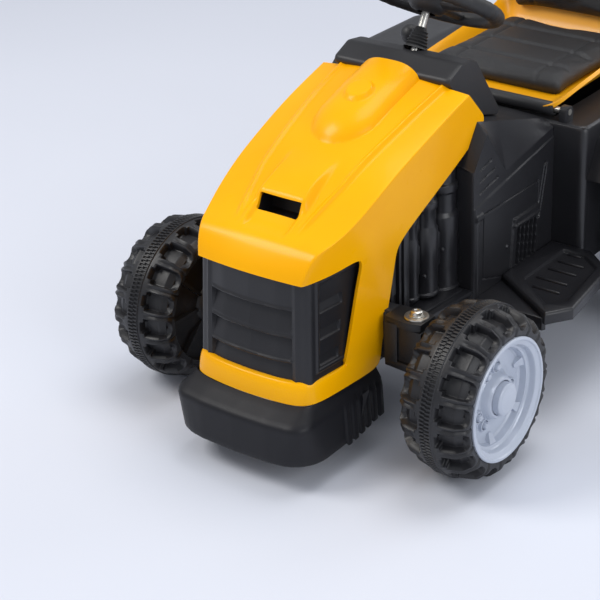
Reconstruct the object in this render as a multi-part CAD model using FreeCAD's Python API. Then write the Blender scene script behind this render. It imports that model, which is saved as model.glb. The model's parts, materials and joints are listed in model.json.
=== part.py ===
import FreeCAD, Part
import math
import os

# Ride-on digger: a child's battery tractor with a digging arm on its back.
# Millimetres. +Z up, the vehicle faces -Y and its left side is +X.
# It is drawn with the front axle at Y 0, and set down about its own middle at the end.

V = FreeCAD.Vector
origin = V(0, 0, 0)
os.makedirs("parts", exist_ok=True)

# wheels and track
front_tyre_radius = 105.0
rear_tyre_radius = 140.0
front_wheel_width = 92.0
rear_wheel_width = 96.0
front_half_track = 217.0
rear_half_track = 228.0
wheelbase = 500.0
front_rim_radius = 76.0
rear_rim_radius = 102.0
tread_band_width = 17.0
tread_band_height = 4.0
tyre_wall = 3.2
rim_wall = 3.5
hub_radius = 17.0
web_depth = 33.0
axle_radius = 6.0

# clearances
running_clearance = 0.05
seam = 0.4
loose_clearance = 1.2

# hood, pillars and band
hood_wall = 3.2
lip_height = 252.0
hood_lower_start = 244.0
hood_lower_slope = 0.476
hood_end = 212.0
hood_rear_cut = 548.0
pillar_outer = 95.0
pillar_inner = 85.0
band_top = 129.0
band_bottom = 104.0
band_wall = 9.0
slot_width = 58.0
slot_length = 17.0
slot_place = -74.0

# bumper
bumper_half_width = 95.0
bumper_front = -176.0
bumper_bottom = 35.0
bumper_ridge = 84.0
bumper_back = -13.0
bumper_wall = 4.5
bumper_corner = 10.0
bumper_ribs = 5
bumper_rib_start = -90.0

# chassis, cowl and foot plates
rail_half_width = 74.0
rail_width = 18.0
rail_bottom = 92.0
rail_top = 110.0
cowl_half_width = 120.0
cowl_front = 150.0
cowl_back = wheelbase - 165.0
cowl_wall = 3.0
cowl_top_front = 352.0
cowl_top_back = 306.0
floor_height = 140.0
floor_depth = 16.0
tread_recess = 4.0
tread_ribs = 6
apron_drop = 9.0
apron_depth = 17.0

# towing eye
tow_hole_radius = 6.0
tow_thickness = 8.0

# engine sides
engine_plate = 78.0
engine_plate_thickness = 6.0
engine_outer = 99.0

# rear body and fenders
box_half_width = 165.0
body_back = wheelbase + 140.0
tow_place = body_back + 20.0
box_top = 302.0
hatch_half_width = 108.0
body_wall = 4.5
fender_top = 306.0
fender_half_width = 268.0
fender_thickness = 4.0
fender_lip = 12.0

# front axle and steering
kingpin_spread = 137.0
kingpin_radius = 7.0
washer_radius = 14.0
washer_thickness = 2.5
beam_top = 175.0
beam_plate = 10.0
beam_core = 108.0
beam_core_front = -5.0
beam_core_back = 16.0
knuckle_block = 17.0
steering_arm = 60.0
tie_rod_thickness = 8.0
tie_rod_half_width = 10.0
tie_rod_top = 121.0
crank_radius = 34.0
column_radius = 5.0
column_rake = math.radians(31.0)
steering_wheel_height = 470.0
steering_ring_radius = 84.0
steering_grip_radius = 11.0
horn_travel = 3.0
stud_radius = 5.0
bush_wall = 8.0
retainer_radius = 11.0
retainer_width = 5.0

# seat
seat_half_width = 120.0
seat_thickness = 14.0
seat_depth = 250.0
seat_back_height = 205.0
pad_thickness = 24.0
seat_pin_radius = 4.0
seat_skin = 3.0
seat_lean = math.tan(math.radians(9))

# digging arm
arm_pin_radius = 8.0
swing_pin_place = body_back + 52.0
arm_width = 44.0
boom_length = 262.0
boom_angle = math.radians(66.0)
stick_length = 226.0
stick_angle = math.radians(-76.0)
boom_root = V(0, swing_pin_place + 44.0, 292.0)
bucket_width = 120.0
bucket_back = 34.0
bucket_ear = 7.0
stick_half = 15.0
ear_thickness = 8.0


def box(x0, x1, y0, y1, z0, z1):
    return Part.makeBox(x1 - x0, y1 - y0, z1 - z0, V(x0, y0, z0))


def rod(start, end, radius):
    return Part.makeCylinder(radius, (end - start).Length, start, end - start)


def across(radius, y, z, x0, x1):
    """A round bar across the vehicle."""
    return rod(V(x0, y, z), V(x1, y, z), radius)


def upright(radius, x, y, z0, z1):
    return rod(V(x, y, z0), V(x, y, z1), radius)


def face(points):
    return Part.Face(Part.makePolygon(list(points) + [points[0]]))


def side_prism(outline, x0, x1):
    """Extrude an outline of (y, z) points across the vehicle."""
    return face([V(x0, y, z) for y, z in outline]).extrude(V(x1 - x0, 0, 0))


def plan_prism(outline, z0, z1):
    """Extrude an outline of (x, y) points upwards."""
    return face([V(x, y, z0) for x, y in outline]).extrude(V(0, 0, z1 - z0))


def both_sides(outline):
    """Complete a half outline of (x, other) points, listed from the side to the middle."""
    return outline + [(-x, other) for x, other in reversed(outline) if x > 0]


def turned(outline, x, y, z, side):
    """Spin (offset, radius) points about a wheel's axis."""
    points = [V(x + side * offset, y, z + radius) for offset, radius in outline]
    return face(points).revolve(V(x, y, z), V(1, 0, 0), 360)


def mirrored(shape):
    return shape.mirror(origin, V(1, 0, 0))


def on_side(shape, side):
    return shape if side > 0 else mirrored(shape)


def union(shapes):
    return shapes[0].multiFuse(shapes[1:]).removeSplitter()


def save(node, shape):
    solids = shape.Solids
    kept = solids[0] if len(solids) == 1 else Part.makeCompound(solids)
    kept.translate(set_down)
    kept.exportStep("parts/" + node + ".step")


sides = (("left", 1), ("right", -1))
bore_radius = axle_radius + running_clearance


# ---- the steering line, used by the column, the dash and the bushes
column_up = V(0, math.sin(column_rake), math.cos(column_rake))
crank_reach = V(0, math.cos(column_rake), -math.sin(column_rake))
tie_rod_middle = V(0, steering_arm, tie_rod_top - tie_rod_thickness / 2)
crank_end = tie_rod_middle + column_up * 28.0
column_foot = crank_end - crank_reach * crank_radius


def on_column(height):
    """The point of the column's axis at this height."""
    return column_foot + column_up * ((height - column_foot.z) / column_up.z)


wheel_centre = on_column(steering_wheel_height)


# ---- hood: a loft through stations along the vehicle
def hood_lower(y):
    return max(lip_height, hood_lower_start + hood_lower_slope * (y + 2.0))


# station, crease half width, crease height, ridge half width, ridge height, middle height
hood_stations = (
    (-137.0, 76.0, 262.0, 38.0, 264.0, 265.0),
    (-112.0, 86.0, 286.0, 42.0, 288.0, 290.0),
    (-86.0, 95.0, 298.0, 47.0, 303.0, 307.0),
    (-26.0, 103.0, 328.0, 58.0, 337.0, 342.0),
    (38.0, 106.0, 354.0, 65.0, 364.0, 369.0),
    (110.0, 107.0, 380.0, 70.0, 390.0, 395.0),
    (hood_end, 107.0, 398.0, 74.0, 408.0, 412.0),
)


def hood_section(station, inset):
    y, crease, crease_z, ridge, ridge_z, middle_z = station
    low = hood_lower(y) - (20.0 if inset else 0.0)
    half = [(crease - 3 - inset, low), (crease - inset, crease_z - inset)]
    half += [(ridge, ridge_z - inset), (0.0, middle_z - inset)]
    outline = both_sides(half)
    shift = inset if y == hood_stations[0][0] else 0.0
    return Part.makePolygon([V(x, y + shift, z) for x, z in outline + outline[:1]])


def hood_solid(inset):
    return Part.makeLoft([hood_section(s, inset) for s in hood_stations], True, True)


def rear_cut(gap):
    """Everything behind the hood's slanted rear edge, where y and z add up to one value."""
    edge = hood_rear_cut + gap
    return [(edge - 200, 200), (edge - 500, 500), (edge, 500), (edge, 200)]


def make_hood():
    shell = hood_solid(0.0).cut(hood_solid(hood_wall))
    top = hood_stations[2][5]
    slot = box(-slot_width / 2, slot_width / 2, slot_place - slot_length / 2,
               slot_place + slot_length / 2, top - 60, top + 30)
    rear = side_prism(rear_cut(0.0), -200, 200)
    axle_room = box(-200, 200, beam_core_front - seam, beam_core_back, rail_top - seam, beam_top + seam)
    post = [(-48.0, lip_height + 8), (-80.0, band_bottom), (-16.0, band_bottom)]
    post += [(18.0, hood_lower(18.0) + 6)]
    pillar = side_prism(post, pillar_inner, pillar_outer)
    pillar = pillar.cut(axle_room)
    pieces = [shell.cut(slot).cut(rear), pillar, mirrored(pillar), make_band()]
    return union(pieces)


band_plan = [(92.0, -60.0), (90.0, -128.0), (78.0, -148.0), (0.0, -153.0)]


def shrunk(outline, amount):
    """The same half outline, moved in from the sides and the front."""
    return [(max(x - amount, 0.0), y + (amount if i else 0.0)) for i, (x, y) in enumerate(outline)]


def make_band():
    outer = plan_prism(both_sides(band_plan), band_bottom, band_top)
    inner = plan_prism(both_sides(shrunk(band_plan, band_wall)), band_bottom, band_top)
    return outer.cut(inner)


def make_grille():
    plan = [(84.0, -47.0), (79.0, -126.0), (68.0, -137.0), (0.0, -141.0)]
    low = band_top + seam
    high = lip_height - seam
    outer = plan_prism(both_sides(plan), low, high)
    grille = outer.cut(plan_prism(both_sides(shrunk(plan, 7.0)), low, high))
    slope = [(-40.0, low), (-74.0, low), (-40.0, high - 8)]
    grille = grille.cut(side_prism(slope, -90, 90))
    for z in (150.0, 181.0, 215.0):
        grille = grille.cut(box(-60, 60, -146, -136, z, z + 5))
        grille = grille.cut(box(70, 90, -112, -84, z - 4, z + 3))
        grille = grille.cut(box(-90, -70, -112, -84, z - 4, z + 3))
    return grille


def make_bumper():
    plan = [(bumper_half_width, bumper_back), (bumper_half_width, bumper_front + 2 + bumper_corner)]
    plan += [(bumper_half_width - bumper_corner, bumper_front + 1), (0.0, bumper_front - 3)]
    shelf = [(84.0, bumper_back), (84.0, -136.0), (72.0, -150.0), (0.0, -153.0)]
    top = band_bottom - seam

    def solid(inset, low, high):
        lower = both_sides(shrunk(plan, inset))
        upper = both_sides(shrunk(shelf, inset))
        levels = ((lower, low), (lower, bumper_ridge), (upper, high))
        wires = [Part.makePolygon([V(x, y, z) for x, y in o + o[:1]]) for o, z in levels]
        return Part.makeLoft(wires, True, True)

    bumper = solid(0.0, bumper_bottom, top).cut(solid(bumper_wall, bumper_bottom - 1, top + 1))
    reach = (bumper_back - bumper_rib_start) / bumper_ribs
    ribs = []
    for i in range(bumper_ribs):
        y = bumper_rib_start + reach * i
        rib = box(bumper_half_width - 2, bumper_half_width + 3, y, y + reach * 0.6,
                  bumper_bottom - 4, bumper_ridge)
        ribs += [rib, mirrored(rib)]
    return union([bumper] + ribs)


# ---- lower structure
def make_chassis():
    front = -116.0
    rail = box(rail_half_width - rail_width, rail_half_width, front, body_back, rail_bottom, rail_top)
    plate = box(-rail_half_width, rail_half_width, front, body_back, rail_bottom, rail_bottom + 5)
    tongue = box(-16, 16, body_back - 20, tow_place, rail_bottom, rail_bottom + tow_thickness)
    eye = upright(16, 0, tow_place, rail_bottom, rail_bottom + tow_thickness)
    chassis = union([rail, mirrored(rail), plate, tongue, eye])
    return chassis.cut(upright(tow_hole_radius, 0, tow_place, rail_bottom - 5, rail_top))


def make_engine_side():
    low_front = beam_top + 4
    outline = [(-12, low_front), (26, low_front), (26, 142), (cowl_front, 132)]
    outline += [(cowl_front, 306), (40, 258), (-12, 234)]
    outer = engine_plate + engine_plate_thickness
    shapes = [side_prism(outline, engine_plate, outer)]
    for y in (22, 48):
        shapes.append(box(outer - 1, outer + 7, y - 4, y + 4, low_front - (y > 30) * 30, hood_lower(y) - 4))
    for y, width in ((69, 20), (102, 34), (141, 40)):
        foot = 152 - (y - 69) * 0.14
        head = hood_lower(y) - 6
        depth = engine_outer - outer
        shapes.append(box(outer - 1, outer + depth * 0.6, y - width / 2, y + width / 2, foot, head))
        shapes.append(upright(width / 2 - 3, outer - 1, y, foot, foot + (head - foot) * 0.62))
    solid = union(shapes)
    return solid.common(box(engine_plate, engine_outer, -20, cowl_front, 100, 400))


def cowl_top(y):
    return cowl_top_front + (cowl_top_back - cowl_top_front) * (y - 178.0) / (cowl_back - 178.0)


column_hole = rod(on_column(200), on_column(460), column_radius + bush_wall)


def make_cowl():
    def solid(inset):
        front, back = cowl_front + inset, cowl_back - inset
        sections = []
        lean = 14.0
        for x, drop in ((-cowl_half_width + inset, 60.0), (-cowl_half_width + lean + inset, 0.0),
                        (cowl_half_width - lean - inset, 0.0), (cowl_half_width - inset, 60.0)):
            foot = rail_top - (2 if inset else 0)
            outline = [(front, foot), (front, 300 - inset - drop / 2)]
            outline += [(178.0, cowl_top_front - inset - drop), (back, cowl_top(back) - inset - drop * 0.6)]
            outline += [(back, foot)]
            sections.append(Part.makePolygon([V(x, y, z) for y, z in outline + outline[:1]]))
        return Part.makeLoft(sections, True, True)

    cowl = solid(0.0).cut(solid(cowl_wall)).cut(column_hole)
    hood_room = hood_solid(0.0).cut(side_prism(rear_cut(seam), -200, 200))
    cowl = cowl.cut(hood_room)
    for side in (1, -1):
        for i in range(5):
            y = 244 + 10 * i
            x = side * cowl_half_width
            cowl = cowl.cut(box(min(x, x - side * 2), max(x, x - side * 2), y, y + 5, 150, 200))
    ear_low = cowl_top(lever_place.y) - 4
    ears = [box(x, x + 4, lever_place.y - 9, lever_place.y + 9, ear_low, lever_place.z + 7)
            for x in (lever_place.x - 11, lever_place.x + 7)]
    ears = [ear.cut(across(4 + running_clearance, lever_place.y, lever_place.z,
                           lever_place.x - 20, lever_place.x + 20)) for ear in ears]
    return union([cowl] + ears)


lever_place = V(-72, 296, cowl_top(296) + 12)


def make_lever():
    hub = across(4, lever_place.y, lever_place.z, lever_place.x - 10.8, lever_place.x + 10.8)
    boss = across(8, lever_place.y, lever_place.z, lever_place.x - 6.4, lever_place.x + 6.4)
    stem = rod(lever_place, lever_place + V(0, 0, 60), 4)
    knob = Part.makeSphere(13, lever_place + V(0, 0, 66))
    return union([hub, boss, stem, knob])


foot_plan = [(cowl_half_width + seam, 214.0), (221.0, 149.0), (242.0, 180.0), (224.0, 300.0)]
foot_plan += [(180.0, cowl_back - seam), (cowl_half_width + seam, cowl_back - seam)]
apron_front = cowl_front + 1.0
apron_plan = [(cowl_half_width + seam, apron_front), (217.0, apron_front), (226.0, 170.0)]
apron_plan += [(130.0, 224.0), (cowl_half_width + seam, 224.0)]
tread_back = cowl_back - 17.0
tread_plan = [(150.0, 216.0), (208.0, 174.0), (226.0, 192.0), (210.0, 296.0), (180.0, tread_back)]
tread_plan += [(150.0, tread_back)]


def make_foot_plate():
    plate = plan_prism(foot_plan, floor_height - floor_depth, floor_height)
    plate = plate.cut(plan_prism(tread_plan, floor_height - tread_recess, floor_height + 1))
    ribs = []
    for i in range(tread_ribs):
        y = 212 + i * 17
        ribs.append(box(160, 200, y, y + 6, floor_height - tread_recess - 1, floor_height - 1.5))
    apron_top = floor_height - apron_drop
    apron = plan_prism(apron_plan, apron_top - apron_depth, apron_top)
    return union([plate, apron] + ribs)


def arch_line(inset):
    """The (y, z) line of a rear fender over its wheel, drawn in from its outside."""
    top = fender_top - inset
    return [(cowl_back + 6 + inset, 232), (cowl_back + 28 + inset * 0.9, 278 - inset * 0.5),
            (wheelbase - 102 + inset / 2, top), (wheelbase + 102 - inset / 2, top),
            (body_back + 6 - inset * 0.9, 262 - inset * 0.4), (body_back + 10 - inset, 228)]


def make_fender():
    outside = arch_line(0.0)
    shell = side_prism(outside + arch_line(fender_thickness)[::-1], box_half_width, fender_half_width)
    lip = side_prism(outside + arch_line(fender_lip)[::-1], fender_half_width - 5, fender_half_width)
    return union([shell, lip])


def make_rear_body():
    outer = box(-box_half_width, box_half_width, cowl_back + seam, body_back, rail_top, box_top)
    bay = box(-box_half_width + body_wall, box_half_width - body_wall, cowl_back + seam + body_wall,
              body_back - body_wall, rail_top + body_wall, box_top - body_wall)
    hatch = box(-hatch_half_width, hatch_half_width, cowl_back + 22, body_back - 44,
                box_top - 20, box_top + 1)
    room = box(-box_half_width, box_half_width, cowl_back + 7, body_back, box_top, 400)
    body = outer.cut(bay).cut(hatch).cut(room)
    body = body.cut(across(bore_radius, wheelbase, rear_tyre_radius, -300, 300))
    ear_y = seat_pivot.y
    for x in (-seat_half_width - 14, seat_half_width + 2):
        ear = box(x, x + 12, ear_y - 9, ear_y + 9, box_top - 8, seat_pivot.z + 8)
        body = body.fuse(ear)
    body = body.cut(across(seat_pin_radius, ear_y, seat_pivot.z, -160, 160))
    return body.removeSplitter()


seat_pivot = V(0, cowl_back + 14, box_top + 12)


# ---- dash and controls
dash_half_width = 84.0
dash_edge = hood_rear_cut + seam
dash_outline = [(dash_edge - 351.0, 351.0), (dash_edge - 406.0, 406.0), (176.0, 420.0), (206.0, 416.0),
                (268.0, cowl_top(268.0) + seam), (dash_edge - 348.0, cowl_top(dash_edge - 348.0) + seam)]
dash_run = V(0, 268.0 - 206.0, cowl_top(268.0) - 416.0).normalize()
dash_normal = V(0, -dash_run.z, dash_run.y)


def on_dash(x, along):
    """A point of the dash's sloping face, this far down from its top edge."""
    return V(x, 206.0, 416.0) + dash_run * along


gauge_radius = 27.0
button_radius = 9.0
socket_radius = 8.0
speaker_radius = 19.0
power_place = on_dash(-50, 46)
music_place = on_dash(-50, 72)
socket_place = on_dash(52, 72)
speaker_place = on_dash(52, 42)


def make_dash():
    dash = side_prism(dash_outline, -dash_half_width, dash_half_width).cut(column_hole)
    for place, radius, depth in ((power_place, button_radius, 14), (music_place, button_radius, 14),
                                 (socket_place, socket_radius, 10), (speaker_place, speaker_radius, 4)):
        dash = dash.cut(rod(place + dash_normal * 5, place - dash_normal * depth, radius + seam))
    return dash.cut(rod(gauge_place + dash_normal * 5, gauge_place - dash_normal * 3, gauge_radius + seam))


gauge_place = on_dash(0, 62)


def make_button(place):
    return rod(place - dash_normal * 9, place + dash_normal * 4, button_radius)


def make_column():
    shaft = rod(column_foot, wheel_centre + column_up * horn_floor, column_radius)
    crank = rod(column_foot, crank_end, column_radius)
    pin = rod(crank_end, crank_end - column_up * 36, column_radius)
    elbows = [Part.makeSphere(column_radius, p) for p in (column_foot, crank_end)]
    return union([shaft, crank, pin] + elbows)


horn_radius = 21.0
horn_floor = 2.0


def make_horn():
    foot = horn_floor + horn_travel + 3 * seam
    return rod(wheel_centre + column_up * foot, wheel_centre + column_up * 15, horn_radius)


def make_steering_wheel():
    ring = Part.makeTorus(steering_ring_radius, steering_grip_radius, wheel_centre, column_up)
    hub = rod(wheel_centre - column_up * 16, wheel_centre + column_up * 10, 30)
    spokes = []
    for angle in (0, 180, 270):
        reach = V(math.cos(math.radians(angle)), 0, 0) + crank_reach * -math.sin(math.radians(angle))
        spokes.append(rod(wheel_centre, wheel_centre + reach * steering_ring_radius, 9))
    wheel = union([ring, hub] + spokes)
    well = rod(wheel_centre + column_up * horn_floor, wheel_centre + column_up * 11, horn_radius + seam)
    wheel = wheel.cut(well)
    return wheel.cut(rod(wheel_centre - column_up * 30, wheel_centre + column_up * 6, column_radius))


def make_bushes():
    bushes = []
    for height in (346.0, 404.0):
        middle = on_column(height)
        outer = rod(middle - column_up * 8, middle + column_up * 8, column_radius + bush_wall)
        bushes.append(outer.cut(rod(middle - column_up * 9, middle + column_up * 9,
                                    column_radius + running_clearance)))
    return Part.makeCompound(bushes)


def make_retainer(half_track, width, y, height):
    """The push-on ring that keeps a left wheel on its axle end."""
    x = half_track + width / 2 - web_depth + seam
    ring = across(retainer_radius, y, height, x, x + retainer_width)
    return ring.cut(across(axle_radius, y, height, x - 1, x + retainer_width + 1))


# ---- front axle and steering gear
def make_beam():
    low = rail_top
    pieces = [box(-beam_core, beam_core, beam_core_front, beam_core_back, low, beam_top)]
    for side in (1, -1):
        x = side * kingpin_spread
        for z in (low, beam_top - beam_plate):
            inner = side * (beam_core - 5)
            pieces.append(box(min(inner, x), max(inner, x), -16, 16, z, z + beam_plate))
            pieces.append(upright(16, x, 0, z, z + beam_plate))
        edge = side * beam_core
        pieces.append(box(min(inner, edge), max(inner, edge), -16, 16, low, beam_top))
    beam = union(pieces)
    for side in (1, -1):
        beam = beam.cut(upright(kingpin_radius, side * kingpin_spread, 0, 50, 250))
    return beam


def make_kingpins():
    """Each pin with its head, and the washer under the head."""
    parts = []
    for side in (1, -1):
        x = side * kingpin_spread
        head_low = beam_top + washer_thickness
        shank = upright(kingpin_radius, x, 0, rail_top - 8, head_low)
        head = upright(kingpin_radius + 1.5, x, 0, head_low, head_low + 6)
        washer = upright(washer_radius, x, 0, beam_top, head_low)
        parts.append(shank.fuse(head).removeSplitter())
        parts.append(washer.cut(upright(kingpin_radius, x, 0, beam_top - 1, beam_top + 9)))
    return Part.makeCompound(parts)


def make_knuckle():
    x = kingpin_spread
    low = rail_top + beam_plate + seam
    high = beam_top - beam_plate - seam
    barrel = box(x - knuckle_block, x + knuckle_block, -knuckle_block, knuckle_block, low, high)
    neck = box(x, x + 20, -9, 9, low, high)
    drop = box(x + 18, x + 30, -12, 12, front_tyre_radius - 12, high)
    stub = across(axle_radius, 0, front_tyre_radius, x + 30, front_half_track + 24)
    arm = box(x - 8, x + 8, 8, steering_arm, low + 2, low + 10)
    tip = upright(10, x, steering_arm, low + 2, low + 10)
    knuckle = union([barrel, neck, drop, stub, arm, tip])
    knuckle = knuckle.cut(upright(kingpin_radius + running_clearance, x, 0, 50, 250))
    knuckle = knuckle.cut(upright(stud_radius + running_clearance, x, steering_arm, 50, 250))
    ring = make_retainer(front_half_track, front_wheel_width, 0, front_tyre_radius)
    return Part.makeCompound([knuckle, ring])


def make_tie_rod():
    x = kingpin_spread
    low = tie_rod_top - tie_rod_thickness
    bar = box(-x, x, steering_arm - tie_rod_half_width, steering_arm + tie_rod_half_width, low, tie_rod_top)
    middle = box(-24, 24, steering_arm - 22, steering_arm + 18, low, tie_rod_top)
    shapes = [bar, middle]
    for side in (1, -1):
        shapes.append(upright(tie_rod_half_width, side * x, steering_arm, low, tie_rod_top))
        shapes.append(upright(stud_radius, side * x, steering_arm, tie_rod_top - 1, tie_rod_top + 13))
    half = column_radius + loose_clearance
    slot = box(-half, half, steering_arm - 17, steering_arm + 12, low - 5, tie_rod_top + 5)
    return union(shapes).cut(slot)


# ---- wheels
def wheel_shapes(x, y, radius, rim_radius, width, side):
    half = width / 2
    crown = radius - tread_band_height
    shoulder = radius - 12
    band = tread_band_width / 2
    floor = half - web_depth
    outline = [(-half, bore_radius), (-half, hub_radius), (-half + 8, hub_radius), (-half + 8, rim_radius)]
    outline += [(-half, rim_radius + 4), (-half, shoulder), (-half + 7, crown), (-band, crown)]
    outline += [(-band, radius), (band, radius), (band, crown), (half - 7, crown), (half, shoulder)]
    outline += [(half, rim_radius), (floor, rim_radius), (floor, bore_radius)]
    tyre = turned(outline, x, y, radius, side)
    wall = tyre_wall
    hollow = [(-half + 8 + wall, hub_radius + wall), (-half + 8 + wall, crown - wall - 4)]
    hollow += [(floor - wall, crown - wall - 4), (floor - wall, hub_radius + wall)]
    tyre = tyre.cut(turned(hollow, x, y, radius, side))
    edge = rim_radius - seam
    cap_radius = rim_radius * 0.27
    foot = cap_radius + 2
    rim_outline = [(floor, foot), (floor, foot + rim_wall), (half - 9 - rim_wall, foot + rim_wall)]
    rim_outline += [(half - 15 - rim_wall, cap_radius + 14), (half - 12 - rim_wall, edge - 9)]
    rim_outline += [(half - 7, edge)]
    rim_outline += [(half, edge), (half, edge - 6), (half - 12, edge - 11), (half - 15, cap_radius + 14)]
    rim_outline += [(half - 9, cap_radius + 8), (half - 9, cap_radius), (floor + 14, cap_radius)]
    rim_outline += [(floor + 14, foot)]
    rim = turned(rim_outline, x, y, radius, side)
    cap_foot = floor + 14 + seam
    cap_outline = [(cap_foot, 0.0), (cap_foot, cap_radius - seam), (half - 5, cap_radius - seam)]
    cap_outline += [(half - 1, cap_radius - 5), (half, 0.0)]
    cap = turned(cap_outline, x, y, radius, side)
    return tyre, rim, cap


def make_wheels():
    for name, side in sides:
        front = wheel_shapes(side * front_half_track, 0, front_tyre_radius, front_rim_radius,
                             front_wheel_width, side)
        rear = wheel_shapes(side * rear_half_track, wheelbase, rear_tyre_radius, rear_rim_radius,
                            rear_wheel_width, side)
        for place, shapes in (("front", front), ("rear", rear)):
            for kind, shape in zip(("tyre", "rim", "hub_cap"), shapes):
                save(kind + "_" + place + "_" + name, shape)


# ---- drive
rear_axle_half = rear_half_track + 24.0


def make_rear_axle():
    """The axle through both rear wheels, with a push-on ring near each end."""
    shaft = across(axle_radius, wheelbase, rear_tyre_radius, -rear_axle_half, rear_axle_half)
    ring = make_retainer(rear_half_track, rear_wheel_width, wheelbase, rear_tyre_radius)
    return Part.makeCompound([shaft, ring, mirrored(ring)])


def make_gearbox():
    x0 = -box_half_width + body_wall + 2
    outline = []
    for i in range(24):
        angle = math.radians(15 * i)
        reach = 34 if math.cos(angle) > -0.2 else 22
        outline.append((wheelbase - 20 - reach * math.cos(angle) * 1.2, 158 + reach * math.sin(angle)))
    case = side_prism(outline, x0, x0 + 40)
    return case.cut(across(axle_radius + seam, wheelbase, rear_tyre_radius, -300, 300))


def make_motor():
    x0 = -box_half_width + body_wall + 42
    return across(18, wheelbase - 44, 164, x0, x0 + 62)


def make_battery():
    front, low = cowl_back + 37, rail_top + body_wall
    return box(-32, 119, front, front + 65, low, low + 96)


# ---- pedal
pedal_pivot = V(-181, 262, floor_height + 9)
pedal_length = 84.0
pedal_half_width = 22.0
pedal_pin_radius = 3.5


def make_pedal():
    x0, x1 = pedal_pivot.x - pedal_half_width, pedal_pivot.x + pedal_half_width
    y, z = pedal_pivot.y, pedal_pivot.z
    outline = [(y, z - 4), (y, z + 6), (y - pedal_length, z + 26), (y - pedal_length, z + 17)]
    plate = side_prism(outline, x0, x1)
    boss = across(7, y, z, x0, x1)
    pedal = union([plate, boss])
    pedal = pedal.cut(box(pedal_pivot.x - 8, pedal_pivot.x + 8, y - 9, y + 9, z - 12, z + 12))
    return pedal.cut(across(pedal_pin_radius + running_clearance, y, z, x0 - 5, x1 + 5))


def make_pedal_pin():
    x0, x1 = pedal_pivot.x - pedal_half_width - 7, pedal_pivot.x + pedal_half_width + 7
    pin = across(pedal_pin_radius, pedal_pivot.y, pedal_pivot.z, x0, x1)
    base = floor_height - 1.5
    blocks = [box(x, x + 6, pedal_pivot.y - 7, pedal_pivot.y + 7, base, pedal_pivot.z + 6)
              for x in (x0, x1 - 6)]
    sole = box(x0, x1, pedal_pivot.y - 7, pedal_pivot.y + 7, base, base + 2)
    return union([pin, sole] + blocks)


def make_pedal_spring():
    coils = []
    for i in range(5):
        x = pedal_pivot.x - 6 + i * 3
        coils.append(Part.makeTorus(5.6, 1.2, V(x, pedal_pivot.y, pedal_pivot.z), V(1, 0, 0)))
    return union(coils)


# ---- seat
def make_seat():
    y0, z0 = seat_pivot.y + 9, box_top + seam
    y1 = y0 + seat_depth
    x = seat_half_width
    pan = box(-x, x, y0, y1, z0, z0 + seat_thickness)
    top, shift = z0 + seat_back_height, seat_back_height * seat_lean
    back = side_prism([(y1 - 14, z0), (y1 + 4, z0), (y1 + 4 + shift, top), (y1 - 10 + shift, top)], -x, x)
    shapes = [pan, back]
    for side in (1, -1):
        wing = side_prism([(y0 + 60, z0), (y1, z0), (y1 + 8, z0 + 74), (y1 - 30, z0 + 66),
                           (y0 + 70, z0 + 36)], side * x, side * (x - 10))
        shapes.append(wing)
    barrel = across(9, seat_pivot.y, seat_pivot.z, -x, x)
    bridge = box(-x, x, seat_pivot.y, y0 + 4, seat_pivot.z - 7, seat_pivot.z + 2)
    seat = union(shapes + [barrel, bridge])
    skin = seat_skin
    inner = x - 10 - skin
    seat = seat.cut(box(-inner, inner, y0 + 12, y1 - 20, z0 + skin, z0 + seat_thickness - skin))
    low, high = z0 + 12, top - skin
    front, rear = y1 - 14 + skin, y1 + 4 - skin
    foot_shift, head_shift = 12 * seat_lean, (high - z0) * seat_lean
    seat = seat.cut(side_prism([(front + foot_shift, low), (rear + foot_shift, low),
                                (rear + head_shift, high), (front + head_shift, high)], -inner, inner))
    return seat.cut(across(seat_pin_radius + running_clearance, seat_pivot.y, seat_pivot.z, -200, 200))


def make_pads():
    y0, z0 = seat_pivot.y + 18, box_top + seam + seat_thickness
    y1 = y0 + seat_depth - 30
    x = seat_half_width - 14
    cushion = box(-x, x, y0, y1, z0 + seam, z0 + pad_thickness)
    foot = z0 + pad_thickness + 6
    top = box_top + seat_back_height - 12
    root = seat_pivot.y + 9 + seat_depth - 14

    def back_line(z):
        return root + (z - box_top) * seat_lean - seam - 1

    back = side_prism([(back_line(foot) - pad_thickness, foot), (back_line(foot), foot),
                       (back_line(top), top), (back_line(top) - pad_thickness, top)], -x, x)
    return cushion, back


# ---- digging arm
boom_tip = boom_root + V(0, math.cos(boom_angle), math.sin(boom_angle)) * boom_length
stick_tip = boom_tip + V(0, math.cos(stick_angle), math.sin(stick_angle)) * stick_length
arm_bore = arm_pin_radius + running_clearance
vehicle_middle = (bumper_front - 3.0 + stick_tip.y + bucket_back) / 2
set_down = V(0, -vehicle_middle, 0)
half_arm = arm_width / 2


def pin_bore(place, radius=arm_bore):
    return across(radius, place.y, place.z, -200, 200)


def make_arm_bracket():
    y = swing_pin_place
    back = box(-70, 70, body_back, body_back + 10, 150, 300)
    pieces = [back]
    for z in (186.0, 262.0):
        pieces.append(box(-24, 24, body_back + 5, y, z, z + 14))
        pieces.append(upright(24, 0, y, z, z + 14))
    bracket = union(pieces)
    return bracket.cut(upright(arm_pin_radius, 0, y, 100, 400))


def make_swing_post():
    y = swing_pin_place
    barrel = upright(22, 0, y, 200 + seam, 262 - seam)
    reach = half_arm + ear_thickness
    web = box(-reach, reach, y + 14, boom_root.y - 4, 200 + seam, 262 - seam)
    cheeks = []
    for side in (1, -1):
        outline = [(y + 27, 204), (y + 30, 300), (boom_root.y - 12, 312), (boom_root.y + 14, 306),
                   (boom_root.y + 18, 280), (boom_root.y - 4, 204)]
        inner, outer = side * (half_arm + seam), side * (half_arm + ear_thickness)
        cheeks.append(side_prism(outline, inner, outer))
    post = union([barrel, web] + cheeks)
    post = post.cut(upright(arm_bore, 0, y, 100, 400))
    return post.cut(pin_bore(boom_root, arm_pin_radius))


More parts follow.
